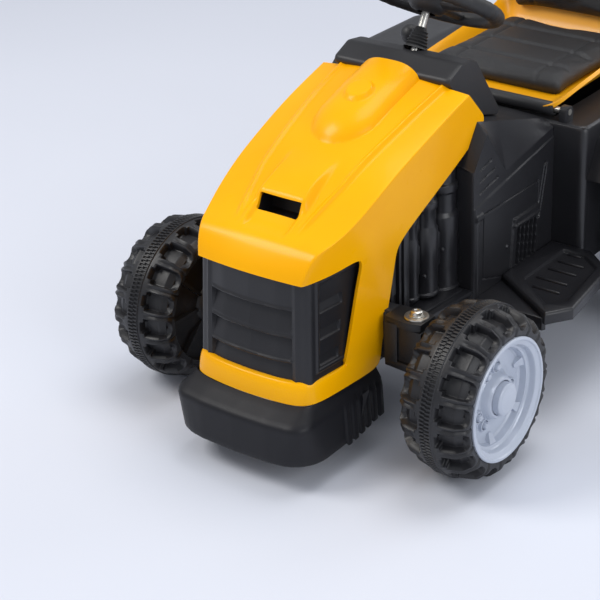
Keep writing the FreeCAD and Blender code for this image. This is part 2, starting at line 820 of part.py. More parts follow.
def arm_beam(start, end, deep, tip, half):
    """A tapered, box-shaped arm between two pivots, deepest near its middle."""
    run = (end - start).normalize()
    rise = V(0, -run.z, run.y)
    length = (end - start).Length
    points = [start - rise * tip, start + rise * tip]
    points += [start + run * (length * 0.45) + rise * deep, end + rise * tip]
    points += [end - rise * tip, start + run * (length * 0.45) - rise * (tip * 0.9)]
    outline = [(p.y, p.z) for p in points]
    return side_prism(outline, -half, half)


def make_boom():
    body = arm_beam(boom_root, boom_tip, 34, 17, half_arm)
    ends = [across(17, p.y, p.z, -half_arm, half_arm) for p in (boom_root, boom_tip)]
    boom = union([body] + ends)
    run = (boom_tip - boom_root).normalize()
    rise = V(0, -run.z, run.y)
    fork = arm_beam(boom_tip - run * 84, boom_tip + run * 40, 60, 60, stick_half + seam)
    boom = boom.cut(fork)
    grip_foot = boom_root + run * (boom_length * 0.45) + rise * 26
    grip_end = grip_foot + rise * 44 + V(0, 0, 20)
    grip = union([rod(grip_foot, grip_end, 7), rod(grip_end + V(-40, 0, 0), grip_end + V(40, 0, 0), 10)])
    boom = boom.fuse(grip).removeSplitter()
    boom = boom.cut(pin_bore(boom_root))
    return boom.cut(pin_bore(boom_tip, arm_pin_radius))


def make_stick():
    body = arm_beam(boom_tip, stick_tip, 22, stick_half, stick_half)
    ends = [across(stick_half, p.y, p.z, -stick_half, stick_half) for p in (boom_tip, stick_tip)]
    stick = union([body] + ends)
    return stick.cut(pin_bore(boom_tip)).cut(pin_bore(stick_tip, arm_pin_radius))


def make_bucket():
    y, z = stick_tip.y, stick_tip.z
    outer = [(y + 14, z - 18), (y + bucket_back, z - 70), (y + 4, z - 112), (y - 50, z - 116)]
    outer += [(y - 88, z - 84), (y - 46, z - 30), (y - 14, z - 14)]
    shell = side_prism(outer, -bucket_width / 2, bucket_width / 2)
    cut = side_prism([(y + 4, z - 32), (y + 27, z - 70), (y + 0, z - 106), (y - 49, z - 110),
                      (y - 84, z - 80), (y - 120, z - 60), (y - 60, z - 10), (y - 30, z - 24)],
                     -bucket_width / 2 + 5, bucket_width / 2 - 5)
    bucket = shell.cut(cut)
    ears = []
    for side in (1, -1):
        outline = [(y - 14, z - 12), (y - 12, z + 8), (y, z + 14), (y + 12, z + 8), (y + 24, z - 30),
                   (y + 8, z - 30), (y - 12, z - 24)]
        inner = stick_half + seam
        ears.append(side_prism(outline, side * inner, side * (inner + bucket_ear)))
    teeth = []
    for i in range(5):
        x = -bucket_width / 2 + 4 + i * (bucket_width - 8 - 12) / 4
        teeth.append(side_prism([(y - 50, z - 116), (y - 88, z - 84), (y - 104, z - 68), (y - 84, z - 80),
                                 (y - 49, z - 110)], x, x + 12))
    bucket = union([bucket] + ears + teeth)
    return bucket.cut(pin_bore(stick_tip))


def arm_pin(place, half):
    shank = across(arm_pin_radius, place.y, place.z, -half, half)
    heads = [across(arm_pin_radius + 5, place.y, place.z, x, x + 5) for x in (-half - 5, half)]
    return union([shank] + heads)


save("hood_shell", make_hood())
save("grille", make_grille())
save("front_bumper", make_bumper())
save("chassis", make_chassis())
save("centre_cowl", make_cowl())
save("rear_body", make_rear_body())
save("dashboard", make_dash())
for name, side in sides:
    save("engine_side_" + name, on_side(make_engine_side(), side))
    save("foot_plate_" + name, on_side(make_foot_plate(), side))
    save("fender_" + name, on_side(make_fender(), side))
    save("knuckle_" + name, on_side(make_knuckle(), side))
save("gauge", rod(gauge_place - dash_normal * 3, gauge_place + dash_normal * 3, gauge_radius))
save("speaker_cover", rod(speaker_place - dash_normal * 4, speaker_place + dash_normal * 2, speaker_radius))
save("charge_socket", rod(socket_place - dash_normal * 10, socket_place + dash_normal * 2, socket_radius))
save("power_button", make_button(power_place))
save("music_button", make_button(music_place))
save("column_bushes", make_bushes())
save("steering_column", make_column())
save("steering_wheel", make_steering_wheel())
save("horn_button", make_horn())
save("shift_lever", make_lever())
save("front_axle_beam", make_beam())
save("kingpins", make_kingpins())
save("tie_rod", make_tie_rod())
make_wheels()
save("rear_axle", make_rear_axle())
save("gearbox", make_gearbox())
save("motor", make_motor())
save("battery", make_battery())
save("pedal", make_pedal())
save("pedal_pin", make_pedal_pin())
save("pedal_spring", make_pedal_spring())
save("seat_shell", make_seat())
cushion, back_pad = make_pads()
save("seat_pad", cushion)
save("back_pad", back_pad)
save("seat_pin", across(seat_pin_radius, seat_pivot.y, seat_pivot.z,
                        -seat_half_width - 14, seat_half_width + 14))
save("arm_bracket", make_arm_bracket())
save("swing_pin", upright(arm_pin_radius, 0, swing_pin_place, 178, 284))
save("swing_post", make_swing_post())
save("boom", make_boom())
save("stick", make_stick())
save("bucket", make_bucket())
save("boom_pin", arm_pin(boom_root, half_arm + ear_thickness))
save("stick_pin", arm_pin(boom_tip, half_arm))
save("bucket_pin", arm_pin(stick_tip, stick_half + bucket_ear + 2 * seam))
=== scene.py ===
import bmesh
import bpy
import json
import math
from mathutils import Matrix, Vector


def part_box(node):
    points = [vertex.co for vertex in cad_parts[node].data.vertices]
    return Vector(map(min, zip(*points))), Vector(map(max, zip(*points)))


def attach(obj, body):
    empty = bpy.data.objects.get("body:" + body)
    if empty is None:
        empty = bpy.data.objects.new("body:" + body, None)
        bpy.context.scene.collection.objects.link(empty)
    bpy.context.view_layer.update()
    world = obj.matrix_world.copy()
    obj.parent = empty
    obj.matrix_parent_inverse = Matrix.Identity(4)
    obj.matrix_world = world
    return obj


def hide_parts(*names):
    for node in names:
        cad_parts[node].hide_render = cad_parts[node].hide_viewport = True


# Ride-on digger: a child's tractor with a digging arm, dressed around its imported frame.
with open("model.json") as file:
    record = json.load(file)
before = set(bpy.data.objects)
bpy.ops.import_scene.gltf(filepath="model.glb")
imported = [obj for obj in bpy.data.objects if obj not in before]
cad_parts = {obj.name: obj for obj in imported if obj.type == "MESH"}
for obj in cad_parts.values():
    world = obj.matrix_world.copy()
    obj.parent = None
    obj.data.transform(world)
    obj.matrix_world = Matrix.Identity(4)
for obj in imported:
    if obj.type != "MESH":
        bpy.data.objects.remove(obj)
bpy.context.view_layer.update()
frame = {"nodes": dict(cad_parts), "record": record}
mm = 0.001
print("frame loaded:", len(frame["nodes"]), "nodes")


def middleOf(node):
    low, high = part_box(node)
    return (low + high) / 2


frontAxleY = middleOf("kingpins").y
rearAxleY = middleOf("rear_axle").y


def spot(point):  # millimetres from the ground under the front axle, in the frame's metres
    return Vector((point[0] * mm, point[1] * mm + frontAxleY, point[2] * mm))


def inMillimetres(point):  # the other way: millimetres from the ground under the front axle
    return Vector((point.x / mm, (point.y - frontAxleY) / mm, point.z / mm))


def boxIn(node):
    return [inMillimetres(corner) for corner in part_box(node)]


def middleIn(node):
    low, high = boxIn(node)
    return (low + high) / 2


# the vehicle's two sides, and directions that several pieces share
sides = (("left", 1), ("right", -1))
across = Vector((1, 0, 0))
upward = Vector((0, 0, 1))


# small sums used by the shapes
def smooth(low, high, value):  # 0 below low, 1 above high, eased between
    t = min(max((value - low) / (high - low), 0.0), 1.0)
    return t * t * (3 - 2 * t)


def bell(offset, width):
    return math.exp(-(offset / width) ** 2)


def along(stations, value):  # straight runs through (place, number) pairs
    if value <= stations[0][0]:
        return stations[0][1]
    for (a, low), (b, high) in zip(stations, stations[1:]):
        if value <= b:
            return low + (high - low) * (value - a) / (b - a)
    return stations[-1][1]


def spread(low, high, count):
    return [low + (high - low) * i / (count - 1) for i in range(count)]


def roundedPath(corners, step=2.0):  # (x, y, radius) corners, as evenly spaced points of the rounded line
    points = [Vector(corners[0][:2])]
    for before, here, after in zip(corners, corners[1:], corners[2:]):
        p, r = Vector(here[:2]), here[2]
        a = (Vector(before[:2]) - p).normalized()
        b = (Vector(after[:2]) - p).normalized()
        half = math.acos(max(-1.0, min(1.0, a.dot(b)))) / 2
        reach = r / math.tan(half)
        centre = p + (a + b).normalized() * r / math.sin(half)
        start, end = p + a * reach - centre, p + b * reach - centre
        turn = start.angle_signed(end, 0.0)
        for i in range(9):
            swing = -turn * i / 8
            c, s = math.cos(swing), math.sin(swing)
            points.append(centre + Vector((start.x * c - start.y * s, start.x * s + start.y * c)))
    points.append(Vector(corners[-1][:2]))
    line = [points[0]]
    for a, b in zip(points, points[1:]):
        count = max(1, round((b - a).length / step))
        line += [a.lerp(b, (i + 1) / count) for i in range(count)]
    return line


# mesh building, in millimetres from the front axle
class Moulding:
    def __init__(self):
        self.points = []
        self.faces = []

    def add(self, points, faces):
        base = len(self.points)
        self.points += [tuple(p) for p in points]
        self.faces += [tuple(base + i for i in f) for f in faces]
        return self

    def grid(self, rows, closeRows=False, closeColumns=False):
        n, m = len(rows), len(rows[0])
        faces = []
        for i in range(n if closeRows else n - 1):
            for j in range(m if closeColumns else m - 1):
                a, b = i, (i + 1) % n
                c, d = j, (j + 1) % m
                faces.append((a * m + c, b * m + c, b * m + d, a * m + d))
        return self.add([p for row in rows for p in row], faces)

    def prism(self, outline, axis, low, high):
        def full(u, v, w):
            return {"x": (w, u, v), "y": (u, w, v), "z": (u, v, w)}[axis]

        n = len(outline)
        points = [full(u, v, low) for u, v in outline] + [full(u, v, high) for u, v in outline]
        faces = [tuple(range(n)), tuple(range(2 * n - 1, n - 1, -1))]
        faces += [(i, (i + 1) % n, (i + 1) % n + n, i + n) for i in range(n)]
        return self.add(points, faces)

    def box(self, x0, x1, y0, y1, z0, z1):
        return self.prism([(x0, y0), (x1, y0), (x1, y1), (x0, y1)], "z", z0, z1)

    def lathe(self, profile, centre, axis, turns=48, start=0.0, sweep=360.0):
        # profile is (along the axis, radius) pairs; a radius of 0 closes the form
        axis = Vector(axis).normalized()
        side = axis.orthogonal().normalized()
        other = axis.cross(side)
        full = abs(sweep - 360.0) < 1e-6
        rows = []
        for i in range(turns if full else turns + 1):
            angle = math.radians(start + sweep * i / turns)
            reach = side * math.cos(angle) + other * math.sin(angle)
            rows.append([Vector(centre) + axis * a + reach * r for a, r in profile])
        return self.grid(rows, closeRows=full)

    def tube(self, path, radius, sides=14, capped=True):
        path = [Vector(p) for p in path]
        rows = []
        across = None
        for i, p in enumerate(path):
            run = (path[min(i + 1, len(path) - 1)] - path[max(i - 1, 0)]).normalized()
            across = run.orthogonal() if across is None else across - run * across.dot(run)
            across.normalize()
            other = run.cross(across)
            r = radius[i] if isinstance(radius, list) else radius
            rows.append([p + (across * math.cos(a) + other * math.sin(a)) * r
                         for a in spread(0, 2 * math.pi * (1 - 1 / sides), sides)])
        self.grid(rows, closeColumns=True)
        return self.ends(len(rows), sides) if capped else self

    def ends(self, rows, size):  # closes the first and last rows of the grid just added
        n = len(self.points)
        self.faces.append(tuple(range(n - size, n)))
        self.faces.append(tuple(reversed(range(n - rows * size, n - rows * size + size))))
        return self

    def mirror(self):
        n = len(self.points)
        self.points += [(-x, y, z) for x, y, z in self.points]
        self.faces += [tuple(n + i for i in reversed(f)) for f in self.faces]
        return self

    def shift(self, rule):
        self.points = [tuple(rule(Vector(p))) for p in self.points]
        return self

    def turned(self, side):  # swapped over to the right for a side of -1
        return self if side > 0 else self.shift(lambda p: Vector((-p.x, p.y, p.z)))

    def piece(self, name, material, body=None, replaces=(), slot=None, bevel=0.0, segments=2,
              levels=0, thick=0.0, sharp=38.0, weld=0.02, creases=None, cuts=()):
        mesh = bpy.data.meshes.new(name)
        mesh.from_pydata([spot(p) for p in self.points], [], self.faces)
        shape = bmesh.new()
        shape.from_mesh(mesh)
        bmesh.ops.remove_doubles(shape, verts=shape.verts, dist=weld * mm)
        bmesh.ops.dissolve_degenerate(shape, edges=shape.edges, dist=0.001 * mm)
        bmesh.ops.recalc_face_normals(shape, faces=shape.faces)
        if creases:
            layer = shape.edges.layers.float.new("crease_edge")
            for edge in shape.edges:
                edge[layer] = creases(*[(v.co - spot((0, 0, 0))) / mm for v in edge.verts])
        shape.to_mesh(mesh)
        shape.free()
        obj = bpy.data.objects.new(name, mesh)
        bpy.context.scene.collection.objects.link(obj)
        if levels:
            change(obj, "SUBSURF", levels=levels, render_levels=levels)
        if thick:
            change(obj, "SOLIDIFY", thickness=abs(thick) * mm, offset=-1.0 if thick > 0 else 1.0,
                   use_even_offset=True)
        for cutter in cuts:
            change(obj, "BOOLEAN", operation="DIFFERENCE", object=cutter, solver="EXACT")
        if bevel:
            change(obj, "BEVEL", width=bevel * mm, segments=segments, limit_method="ANGLE",
                   angle_limit=math.radians(30), harden_normals=False)
        settle(obj)
        sharpen(obj, sharp)
        return claim(obj, material, slot, body, replaces)


def claim(obj, material, slot, body, nodes):  # its finish, its body and the nodes it stands for
    obj.data.materials.clear()
    obj.data.materials.append(material)
    if body:
        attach(obj, body)
    if nodes:
        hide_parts(*nodes)
    return obj


def change(obj, kind, **settings):
    modifier = obj.modifiers.new(kind.title(), kind)
    for key, value in settings.items():
        setattr(modifier, key, value)
    return modifier


def settle(obj):  # works its modifiers into the mesh
    if obj.modifiers:
        graph = bpy.context.evaluated_depsgraph_get()
        mesh = bpy.data.meshes.new_from_object(obj.evaluated_get(graph))
        obj.modifiers.clear()
        obj.data = mesh


def sharpen(obj, angle):  # smooth faces, with hard edges where the form turns sharply
    shape = bmesh.new()
    shape.from_mesh(obj.data)
    for face in shape.faces:
        face.smooth = True
    for edge in shape.edges:
        edge.smooth = len(edge.link_faces) == 2 and edge.calc_face_angle(0.0) < math.radians(angle)
    shape.to_mesh(obj.data)
    shape.free()


def moved(obj, rule):  # changes a mesh point by point, in millimetres from the front axle
    for vertex in obj.data.vertices:
        vertex.co = spot(rule(inMillimetres(vertex.co)))
    obj.data.update()
    return obj


def cutter(moulding, name):  # a hidden solid that a boolean takes away
    obj = moulding.piece(name, None)
    obj.hide_render = True
    return obj


def dropCutters(*cutters):
    for obj in cutters:
        bpy.data.objects.remove(obj)


# materials
class Wire:
    def __init__(self, paint, socket):
        self.paint = paint
        self.socket = socket

    def sum(self, operation, a, b):
        return self.paint.node("ShaderNodeMath", {"operation": operation}, {0: a, 1: b})

    def __add__(self, other):
        return self.sum("ADD", self, other)

    def __sub__(self, other):
        return self.sum("SUBTRACT", self, other)

    def __mul__(self, other):
        return self.sum("MULTIPLY", self, other)

    def __truediv__(self, other):
        return self.sum("DIVIDE", self, other)

    def __pow__(self, other):
        return self.sum("POWER", self, other)

    def __rsub__(self, other):
        return self.sum("SUBTRACT", other, self)

    def __rtruediv__(self, other):
        return self.sum("DIVIDE", other, self)

    __radd__ = __add__
    __rmul__ = __mul__


class Paint:
    def __init__(self, name):
        self.material = bpy.data.materials.new(name)
        self.material.use_nodes = True
        self.tree = self.material.node_tree
        self.shader = self.tree.nodes["Principled BSDF"]
        self.place = self.node("ShaderNodeTexCoord", {}, {}, "Object")

    def node(self, kind, settings, inputs, output=0):
        made = self.tree.nodes.new(kind)
        for key, value in settings.items():
            if key == "stops":
                ramp = made.color_ramp.elements
                while len(ramp) < len(value):
                    ramp.new(1.0)
                for stop, (position, colour) in zip(ramp, value):
                    stop.position = position
                    stop.color = (*colour, 1.0) if isinstance(colour, tuple) else (colour,) * 3 + (1.0,)
            else:
                setattr(made, key, value)
        for key, value in inputs.items():
            self.link(value, made.inputs[key])
        return Wire(self, made.outputs[output])

    def link(self, value, socket):
        if isinstance(value, Wire):
            self.tree.links.new(value.socket, socket)
        elif isinstance(value, tuple) and len(value) == 3 and socket.type == "RGBA":
            socket.default_value = (*value, 1.0)
        else:
            socket.default_value = value

    def noise(self, scale, detail=2.0, rough=0.5, output=0):
        return self.node("ShaderNodeTexNoise", {},
                         {"Vector": self.place, "Scale": scale, "Detail": detail, "Roughness": rough}, output)

    def ramp(self, factor, *stops):
        return self.node("ShaderNodeValToRGB", {"stops": stops}, {0: factor})

    def mix(self, factor, a, b):
        return self.node("ShaderNodeMix", {"data_type": "RGBA"}, {0: factor, 6: a, 7: b}, 2)

    def bump(self, height, strength, depth, below=None):
        inputs = {"Height": height, "Strength": strength, "Distance": depth}
        if below:
            inputs["Normal"] = below
        return self.node("ShaderNodeBump", {}, inputs, "Normal")

    def set(self, **values):
        for key, value in values.items():
            self.link(value, self.shader.inputs[key.replace("_", " ")])
        return self.material


def mouldedPlastic(name, colour, light, rough, grain, coat=0.0, metal=0.0, dust=0.0,
                   shine=0.5):
    # a moulded plastic: slow drifts of tone, a fine spark-eroded grain and faint handling marks
    paint = Paint(name)
    drift = paint.noise(7.0, 3.0)
    speck = paint.noise(1500.0, 2.0, 0.6)
    smear = paint.noise(38.0, 4.0, 0.65)
    tone = paint.mix(paint.ramp(drift, (0.3, 0.0), (0.72, 1.0)), colour, light)
    if dust:
        scratch = paint.ramp(paint.noise(220.0, 6.0, 0.75), (0.62, 0.0), (0.78, dust))
        tone = paint.mix(scratch, tone, (0.16, 0.16, 0.17))
    finish = smear * 0.14 + speck * 0.06 + (rough - 0.1)
    relief = paint.bump(speck, grain, 0.0004, paint.bump(smear, grain * 0.25, 0.0009))
    return paint.set(Base_Color=tone, Roughness=finish, Normal=relief, Coat_Weight=coat,
                     Coat_Roughness=0.12, Metallic=metal, Specular_IOR_Level=shine)


def leatherette(name, colour, light):
    # grained seat cover: cells of pebble grain, with painted shade darkening the creases between them
    paint = Paint(name)
    cells = paint.node("ShaderNodeTexVoronoi", {"feature": "DISTANCE_TO_EDGE"},
                       {"Vector": paint.place, "Scale": 420.0})
    crease = paint.ramp(cells, (0.0, 0.0), (0.16, 1.0))
    soft = paint.noise(22.0, 3.0)
    tone = paint.mix(soft, colour, light)
    # painted shade: the colour darkens toward near black along the grain's creases; the crease mask also
    # drives the real grain bump below
    tone = paint.mix(crease * 0.6 + 0.4, (0.006, 0.006, 0.007), tone)
    relief = paint.bump(crease, 0.45, 0.0006, paint.bump(soft, 0.2, 0.002))
    return paint.set(Base_Color=tone, Roughness=soft * 0.15 + 0.42, Normal=relief)


def platedSteel(name, colour, light, rough):
    # zinc plate: fine turning marks, cloudy plating and small dull spots
    paint = Paint(name)
    cloud = paint.noise(160.0, 4.0, 0.6)
    marks = paint.noise(2600.0, 2.0)
    spots = paint.ramp(paint.noise(420.0, 5.0, 0.7), (0.6, 0.0), (0.75, 1.0))
    tone = paint.mix(cloud, colour, light)
    tone = paint.mix(spots * 0.35, tone, (0.3, 0.27, 0.22))
    return paint.set(Base_Color=tone, Roughness=cloud * 0.2 + marks * 0.08 + (rough - 0.12) + spots * 0.12,
                     Normal=paint.bump(marks, 0.12, 0.0002), Metallic=1.0)


yellowShine = mouldedPlastic("yellowShine", (0.93, 0.4, 0.0), (1.0, 0.47, 0.0), 0.3, 0.03, coat=0.08,
                             shine=0.14)
armYellow = mouldedPlastic("armYellow", (0.9, 0.38, 0.0), (0.97, 0.45, 0.0), 0.34, 0.08, coat=0.3)
seatYellow = mouldedPlastic("seatYellow", (0.9, 0.38, 0.0), (0.96, 0.43, 0.0), 0.4, 0.22, coat=0.15)
grilleBlack = mouldedPlastic("grilleBlack", (0.01, 0.01, 0.012), (0.016, 0.016, 0.019), 0.4, 0.2, shine=0.4)
bumperBlack = mouldedPlastic("bumperBlack", (0.007, 0.007, 0.009), (0.011, 0.011, 0.014), 0.46, 0.16,
                             shine=0.26)
cowlBlack = mouldedPlastic("cowlBlack", (0.011, 0.011, 0.013), (0.018, 0.018, 0.021), 0.36, 0.18)
engineBlack = mouldedPlastic("engineBlack", (0.01, 0.01, 0.012), (0.016, 0.016, 0.019), 0.34, 0.15)
treadBlack = mouldedPlastic("treadBlack", (0.009, 0.009, 0.011), (0.014, 0.014, 0.017), 0.36, 0.25, dust=0.05)
frameBlack = mouldedPlastic("frameBlack", (0.009, 0.009, 0.01), (0.014, 0.014, 0.016), 0.46, 0.3)
tyreBlack = mouldedPlastic("tyreBlack", (0.01, 0.01, 0.012), (0.016, 0.016, 0.019), 0.42, 0.3, dust=0.05)
dashBlack = mouldedPlastic("dashBlack", (0.014, 0.014, 0.016), (0.022, 0.022, 0.024), 0.45, 0.35)
armBlack = mouldedPlastic("armBlack", (0.018, 0.018, 0.02), (0.028, 0.028, 0.031), 0.42, 0.22, dust=0.08)
bucketBlack = mouldedPlastic("bucketBlack", (0.02, 0.02, 0.023), (0.034, 0.034, 0.038), 0.42, 0.22, dust=0.2)
gripBlack = mouldedPlastic("gripBlack", (0.014, 0.014, 0.015), (0.02, 0.02, 0.021), 0.5, 0.5)
rimSilver = mouldedPlastic("rimSilver", (0.44, 0.48, 0.56), (0.54, 0.58, 0.66), 0.3, 0.08, coat=0.2,
                           metal=0.1)
redShine = mouldedPlastic("redShine", (0.5, 0.02, 0.015), (0.62, 0.03, 0.02), 0.3, 0.06, coat=0.4)
paleBush = mouldedPlastic("paleBush", (0.6, 0.58, 0.53), (0.7, 0.68, 0.62), 0.5, 0.15)
batteryBlack = mouldedPlastic("batteryBlack", (0.03, 0.03, 0.034), (0.045, 0.045, 0.05), 0.45, 0.2)
seatCover = leatherette("seatCover", (0.014, 0.014, 0.015), (0.024, 0.024, 0.026))
zincSteel = platedSteel("zincSteel", (0.62, 0.6, 0.55), (0.75, 0.73, 0.68), 0.34)
motorSteel = platedSteel("motorSteel", (0.42, 0.43, 0.44), (0.55, 0.56, 0.57), 0.42)
print("materials made")


# hood: one yellow moulding with its pillars and the band under the grille
hood = {
    # along the vehicle: half width and height of the shoulder line where top meets side
    "shoulder": [(-118, (84, 287)), (-100, (90, 291.5)), (-75, (97, 302)), (-45, (101.5, 317.5)),
                 (-14, (103.5, 333)), (18, (104.5, 346.5)), (60, (106.5, 362.5)), (105, (107, 378)),
                 (160, (107, 394))],
    "crown": [(-118, 2), (-90, 3), (-65, 7), (-30, 10), (0, 12)],
    "ridge": [(-105, 43), (-89, 46), (-65, 51), (-32, 58), (8, 62), (66, 68), (160, 75)],
    "ridgeHeight": 4.8,
    "ridgeWidth": 3.4,
    "scoopWidth": 29.5,
    "scoopPlace": -74.0,
    "scoopRise": 11.0,
    "humpHeight": 16.0,
    "humpHalfWidth": 42.0,
    "humpFront": 14.0,
    "humpWidest": 62.0,
    "bossPlace": 82.0,
    "bossRadius": 17.0,
    "rearCut": 548.0,  # the slanted rear edge, where y and z add up to this
    "wall": 3.6,
    "lowerEdge": [(-100, 254), (-75, 258), (-50, 262), (16, 252), (60, 275), (105, 295), (206, 342)],
}


def shoulderAt(y):
    width = along([(place, pair[0]) for place, pair in hood["shoulder"]], y)
    return width, along([(place, pair[1]) for place, pair in hood["shoulder"]], y)


def topHeight(share, y):
    return shoulderAt(y)[1] + along(hood["crown"], y) * (1 - share * share)


def hoodTopRow(y, shares):
    return [(shoulderAt(y)[0] * s, y, topHeight(s, y)) for s in shares]


def hoodRelief(p):  # ridges, air scoop, hump and boss, pushed up out of the smooth top
    half, shoulder = shoulderAt(p.y)
    if p.z < shoulder - 2 or abs(p.x) > half - 1 or p.y < -117:
        return p
    x = abs(p.x)
    ridge, place, wide = along(hood["ridge"], p.y), hood["scoopPlace"], hood["scoopWidth"]
    rise = hood["ridgeHeight"] * bell(x - ridge, hood["ridgeWidth"]) * smooth(-106, -78, p.y)
    rise += 1.6 * (1 - smooth(ridge - 6, ridge, x)) * smooth(-106, -70, p.y)
    inside = 1 - smooth(wide - 1, wide + 9, x)
    length = smooth(place - 5, place + 5, p.y) * (1 - smooth(place + 12, place + 78, p.y))
    rise += hood["scoopRise"] * inside * length
    approach = smooth(-114, -92, p.y) * (1 - smooth(place - 6, place, p.y))
    rise -= 3.5 * (1 - smooth(wide - 3, wide + 3, x)) * approach
    cheeks = smooth(-112, -88, p.y) * (1 - smooth(place + 4, place + 30, p.y))
    rise += 3.0 * bell(x - wide - 5, 4.0) * cheeks
    reach = max(hood["humpWidest"] - p.y, 0.0) / (hood["humpWidest"] - hood["humpFront"])
    away = math.hypot(x / hood["humpHalfWidth"], reach)
    if away < 1:
        rise += hood["humpHeight"] * (1 - away ** 3.4) ** 0.8
    fromBoss = math.hypot(x, p.y - hood["bossPlace"])
    rise += 5.0 * (1 - smooth(hood["bossRadius"] - 2, hood["bossRadius"] + 1.5, fromBoss))
    return Vector((p.x, p.y, p.z + rise))


def makeHood():
    half = Moulding()
    shares = [0.0, 0.22, 0.42, 0.6, 0.76, 0.88, 0.955, 1.0]
    stations = [-118, -100, -75, -45, -14, 18, 60, 105]
    top = [hoodTopRow(y, shares) for y in stations]
    cutRow = []
    for s in shares:
        y = 150.0
        for _ in range(12):
            y = hood["rearCut"] - topHeight(s, y)
        cutRow.append((shoulderAt(y)[0] * s, y, topHeight(s, y)))
    top.append(cutRow)
    half.grid(top)
    # the nose, from the break line down to the lip
    corner = [top[0][-1], (81.5, -126.5, 275), (79, -132, 263), (76.5, -135, 252)]
    nose = [top[0]]
    for (x, y, z), bulge in zip(corner[1:], (2.0, 4.5, 6.0)):
        nose.append([(x * s, y - bulge * (1 - s * s), z + (1 - s * s)) for s in shares])
    half.grid(nose)
    # the side, from the shoulder line down to its lower edge
    side = [corner]
    for y, line in zip(stations[1:] + [cutRow[-1][1]], top[1:]):
        x = line[-1][0]
        low = 206 if y > 110 else {60: 66, 105: 118}.get(y, y - 2 if y > -90 else y - 4)
        foot = (x - (4.5 if y > 0 else 3.5), low, along(hood["lowerEdge"], low))
        side.append([line[-1]] + [Vector(line[-1]).lerp(Vector(foot), t) for t in (0.11, 0.6, 1.0)])
    half.grid(side)
    # the pillar, from the side down to the band
    feet = [tuple(side[i][3]) for i in (3, 4, 5)]
    post = [feet,
            [(95.0, -53, 236), (97.0, -18, 236), (97.5, 15, 234)],
            [(92.5, -63, 190), (95.0, -28, 190), (96.0, 6, 190)],
            [(90.5, -72, 150), (93.0, -36, 150), (94.0, -3, 150)],
            [(89.5, -77, 131), (92.0, -42, 131), (93.0, -8, 131)],
            [(90.5, -80, 118), (93.0, -44, 118), (93.5, -11, 118)],
            [(91.0, -82, 104), (93.5, -46, 104), (93.5, -14, 104)]]
    half.grid(post)
    # the band, forward from the pillar's foot and round to the middle
    heights = (131, 118, 104)
    ends = [post[4][0], post[5][0], post[6][0]]
    runs = [[(87, -104), (83, -125), (76.5, -137), (62, -144), (32, -148), (0, -149.5)],
            [(89, -105), (85.5, -127.5), (79, -140), (63.5, -147), (32, -151.5), (0, -153)],
            [(89.5, -106), (86, -128.5), (79.5, -141.5), (64, -148.5), (32, -152.5), (0, -154)]]
    band = [[end] + [(x, y, z) for x, y in run] for end, run, z in zip(ends, runs, heights)]
    inner = [(81, -75, 129)] + [(x * 0.91 if x else 0, y + 8, 129) for x, y in runs[0]]
    half.grid([inner] + band)
    half.mirror()

    def creases(a, b):
        tip = max(a.z, b.z)
        if abs(a.z - b.z) < 0.01 and tip < 105:
            return 1.0
        shoulder = all(abs(abs(p.x) - shoulderAt(p.y)[0]) < 0.3 and p.z > 286 for p in (a, b))
        return 0.35 if shoulder else 0.0

    shell = half.piece("hoodMoulding", yellowShine, levels=4, creases=creases, weld=0.05)
    moved(shell, hoodRelief)
    mouth = Moulding()
    place, wide = hood["scoopPlace"], hood["scoopWidth"]
    height = topHeight(0, place)
    mouth.prism([(place - 7, height - 14), (place + 22, height - 14), (place + 22, height + 6),
                 (place + 6, height + 7.5), (place + 6, height + 14), (place - 7, height + 6)],
                "x", -wide, wide)
    mouthTool = cutter(mouth, "scoopTool")
    change(shell, "SOLIDIFY", thickness=hood["wall"] * mm, offset=-1.0, use_even_offset=True)
    change(shell, "BOOLEAN", operation="DIFFERENCE", object=mouthTool, solver="EXACT")
    settle(shell)
    sharpen(shell, 32)
    dropCutters(mouthTool)
    claim(shell, yellowShine, "yellow_plastic", "frame", ("hood_shell",))
    # a black liner stands a little way inside the scoop
    liner = Moulding()
    liner.grid([[(-wide - 5, y, height + top), (-wide - 4, y, height + dz), (wide + 4, y, height + dz),
                 (wide + 5, y, height + top)]
                for y, dz, top in ((place - 4, -17, -9), (place + 6, -19, 0), (place + 26, -16, 6),
                                   (place + 34, 2, 6))])
    liner.piece("scoopLiner", grilleBlack, "frame", thick=1.5, slot="grille_black")


makeHood()
print("hood made")

# grille: curved louvred front with ribbed corners and slotted cheeks
grille = {
    "low": 126.0,
    "high": 255.0,
    "louvres": [150.0, 181.0, 215.0],
    "louvreDepth": 7.5,
    "frontHalf": 59.0,
    "ribPlace": 64.0,
    "cheekSlots": [151.0, 183.0, 216.0],
}


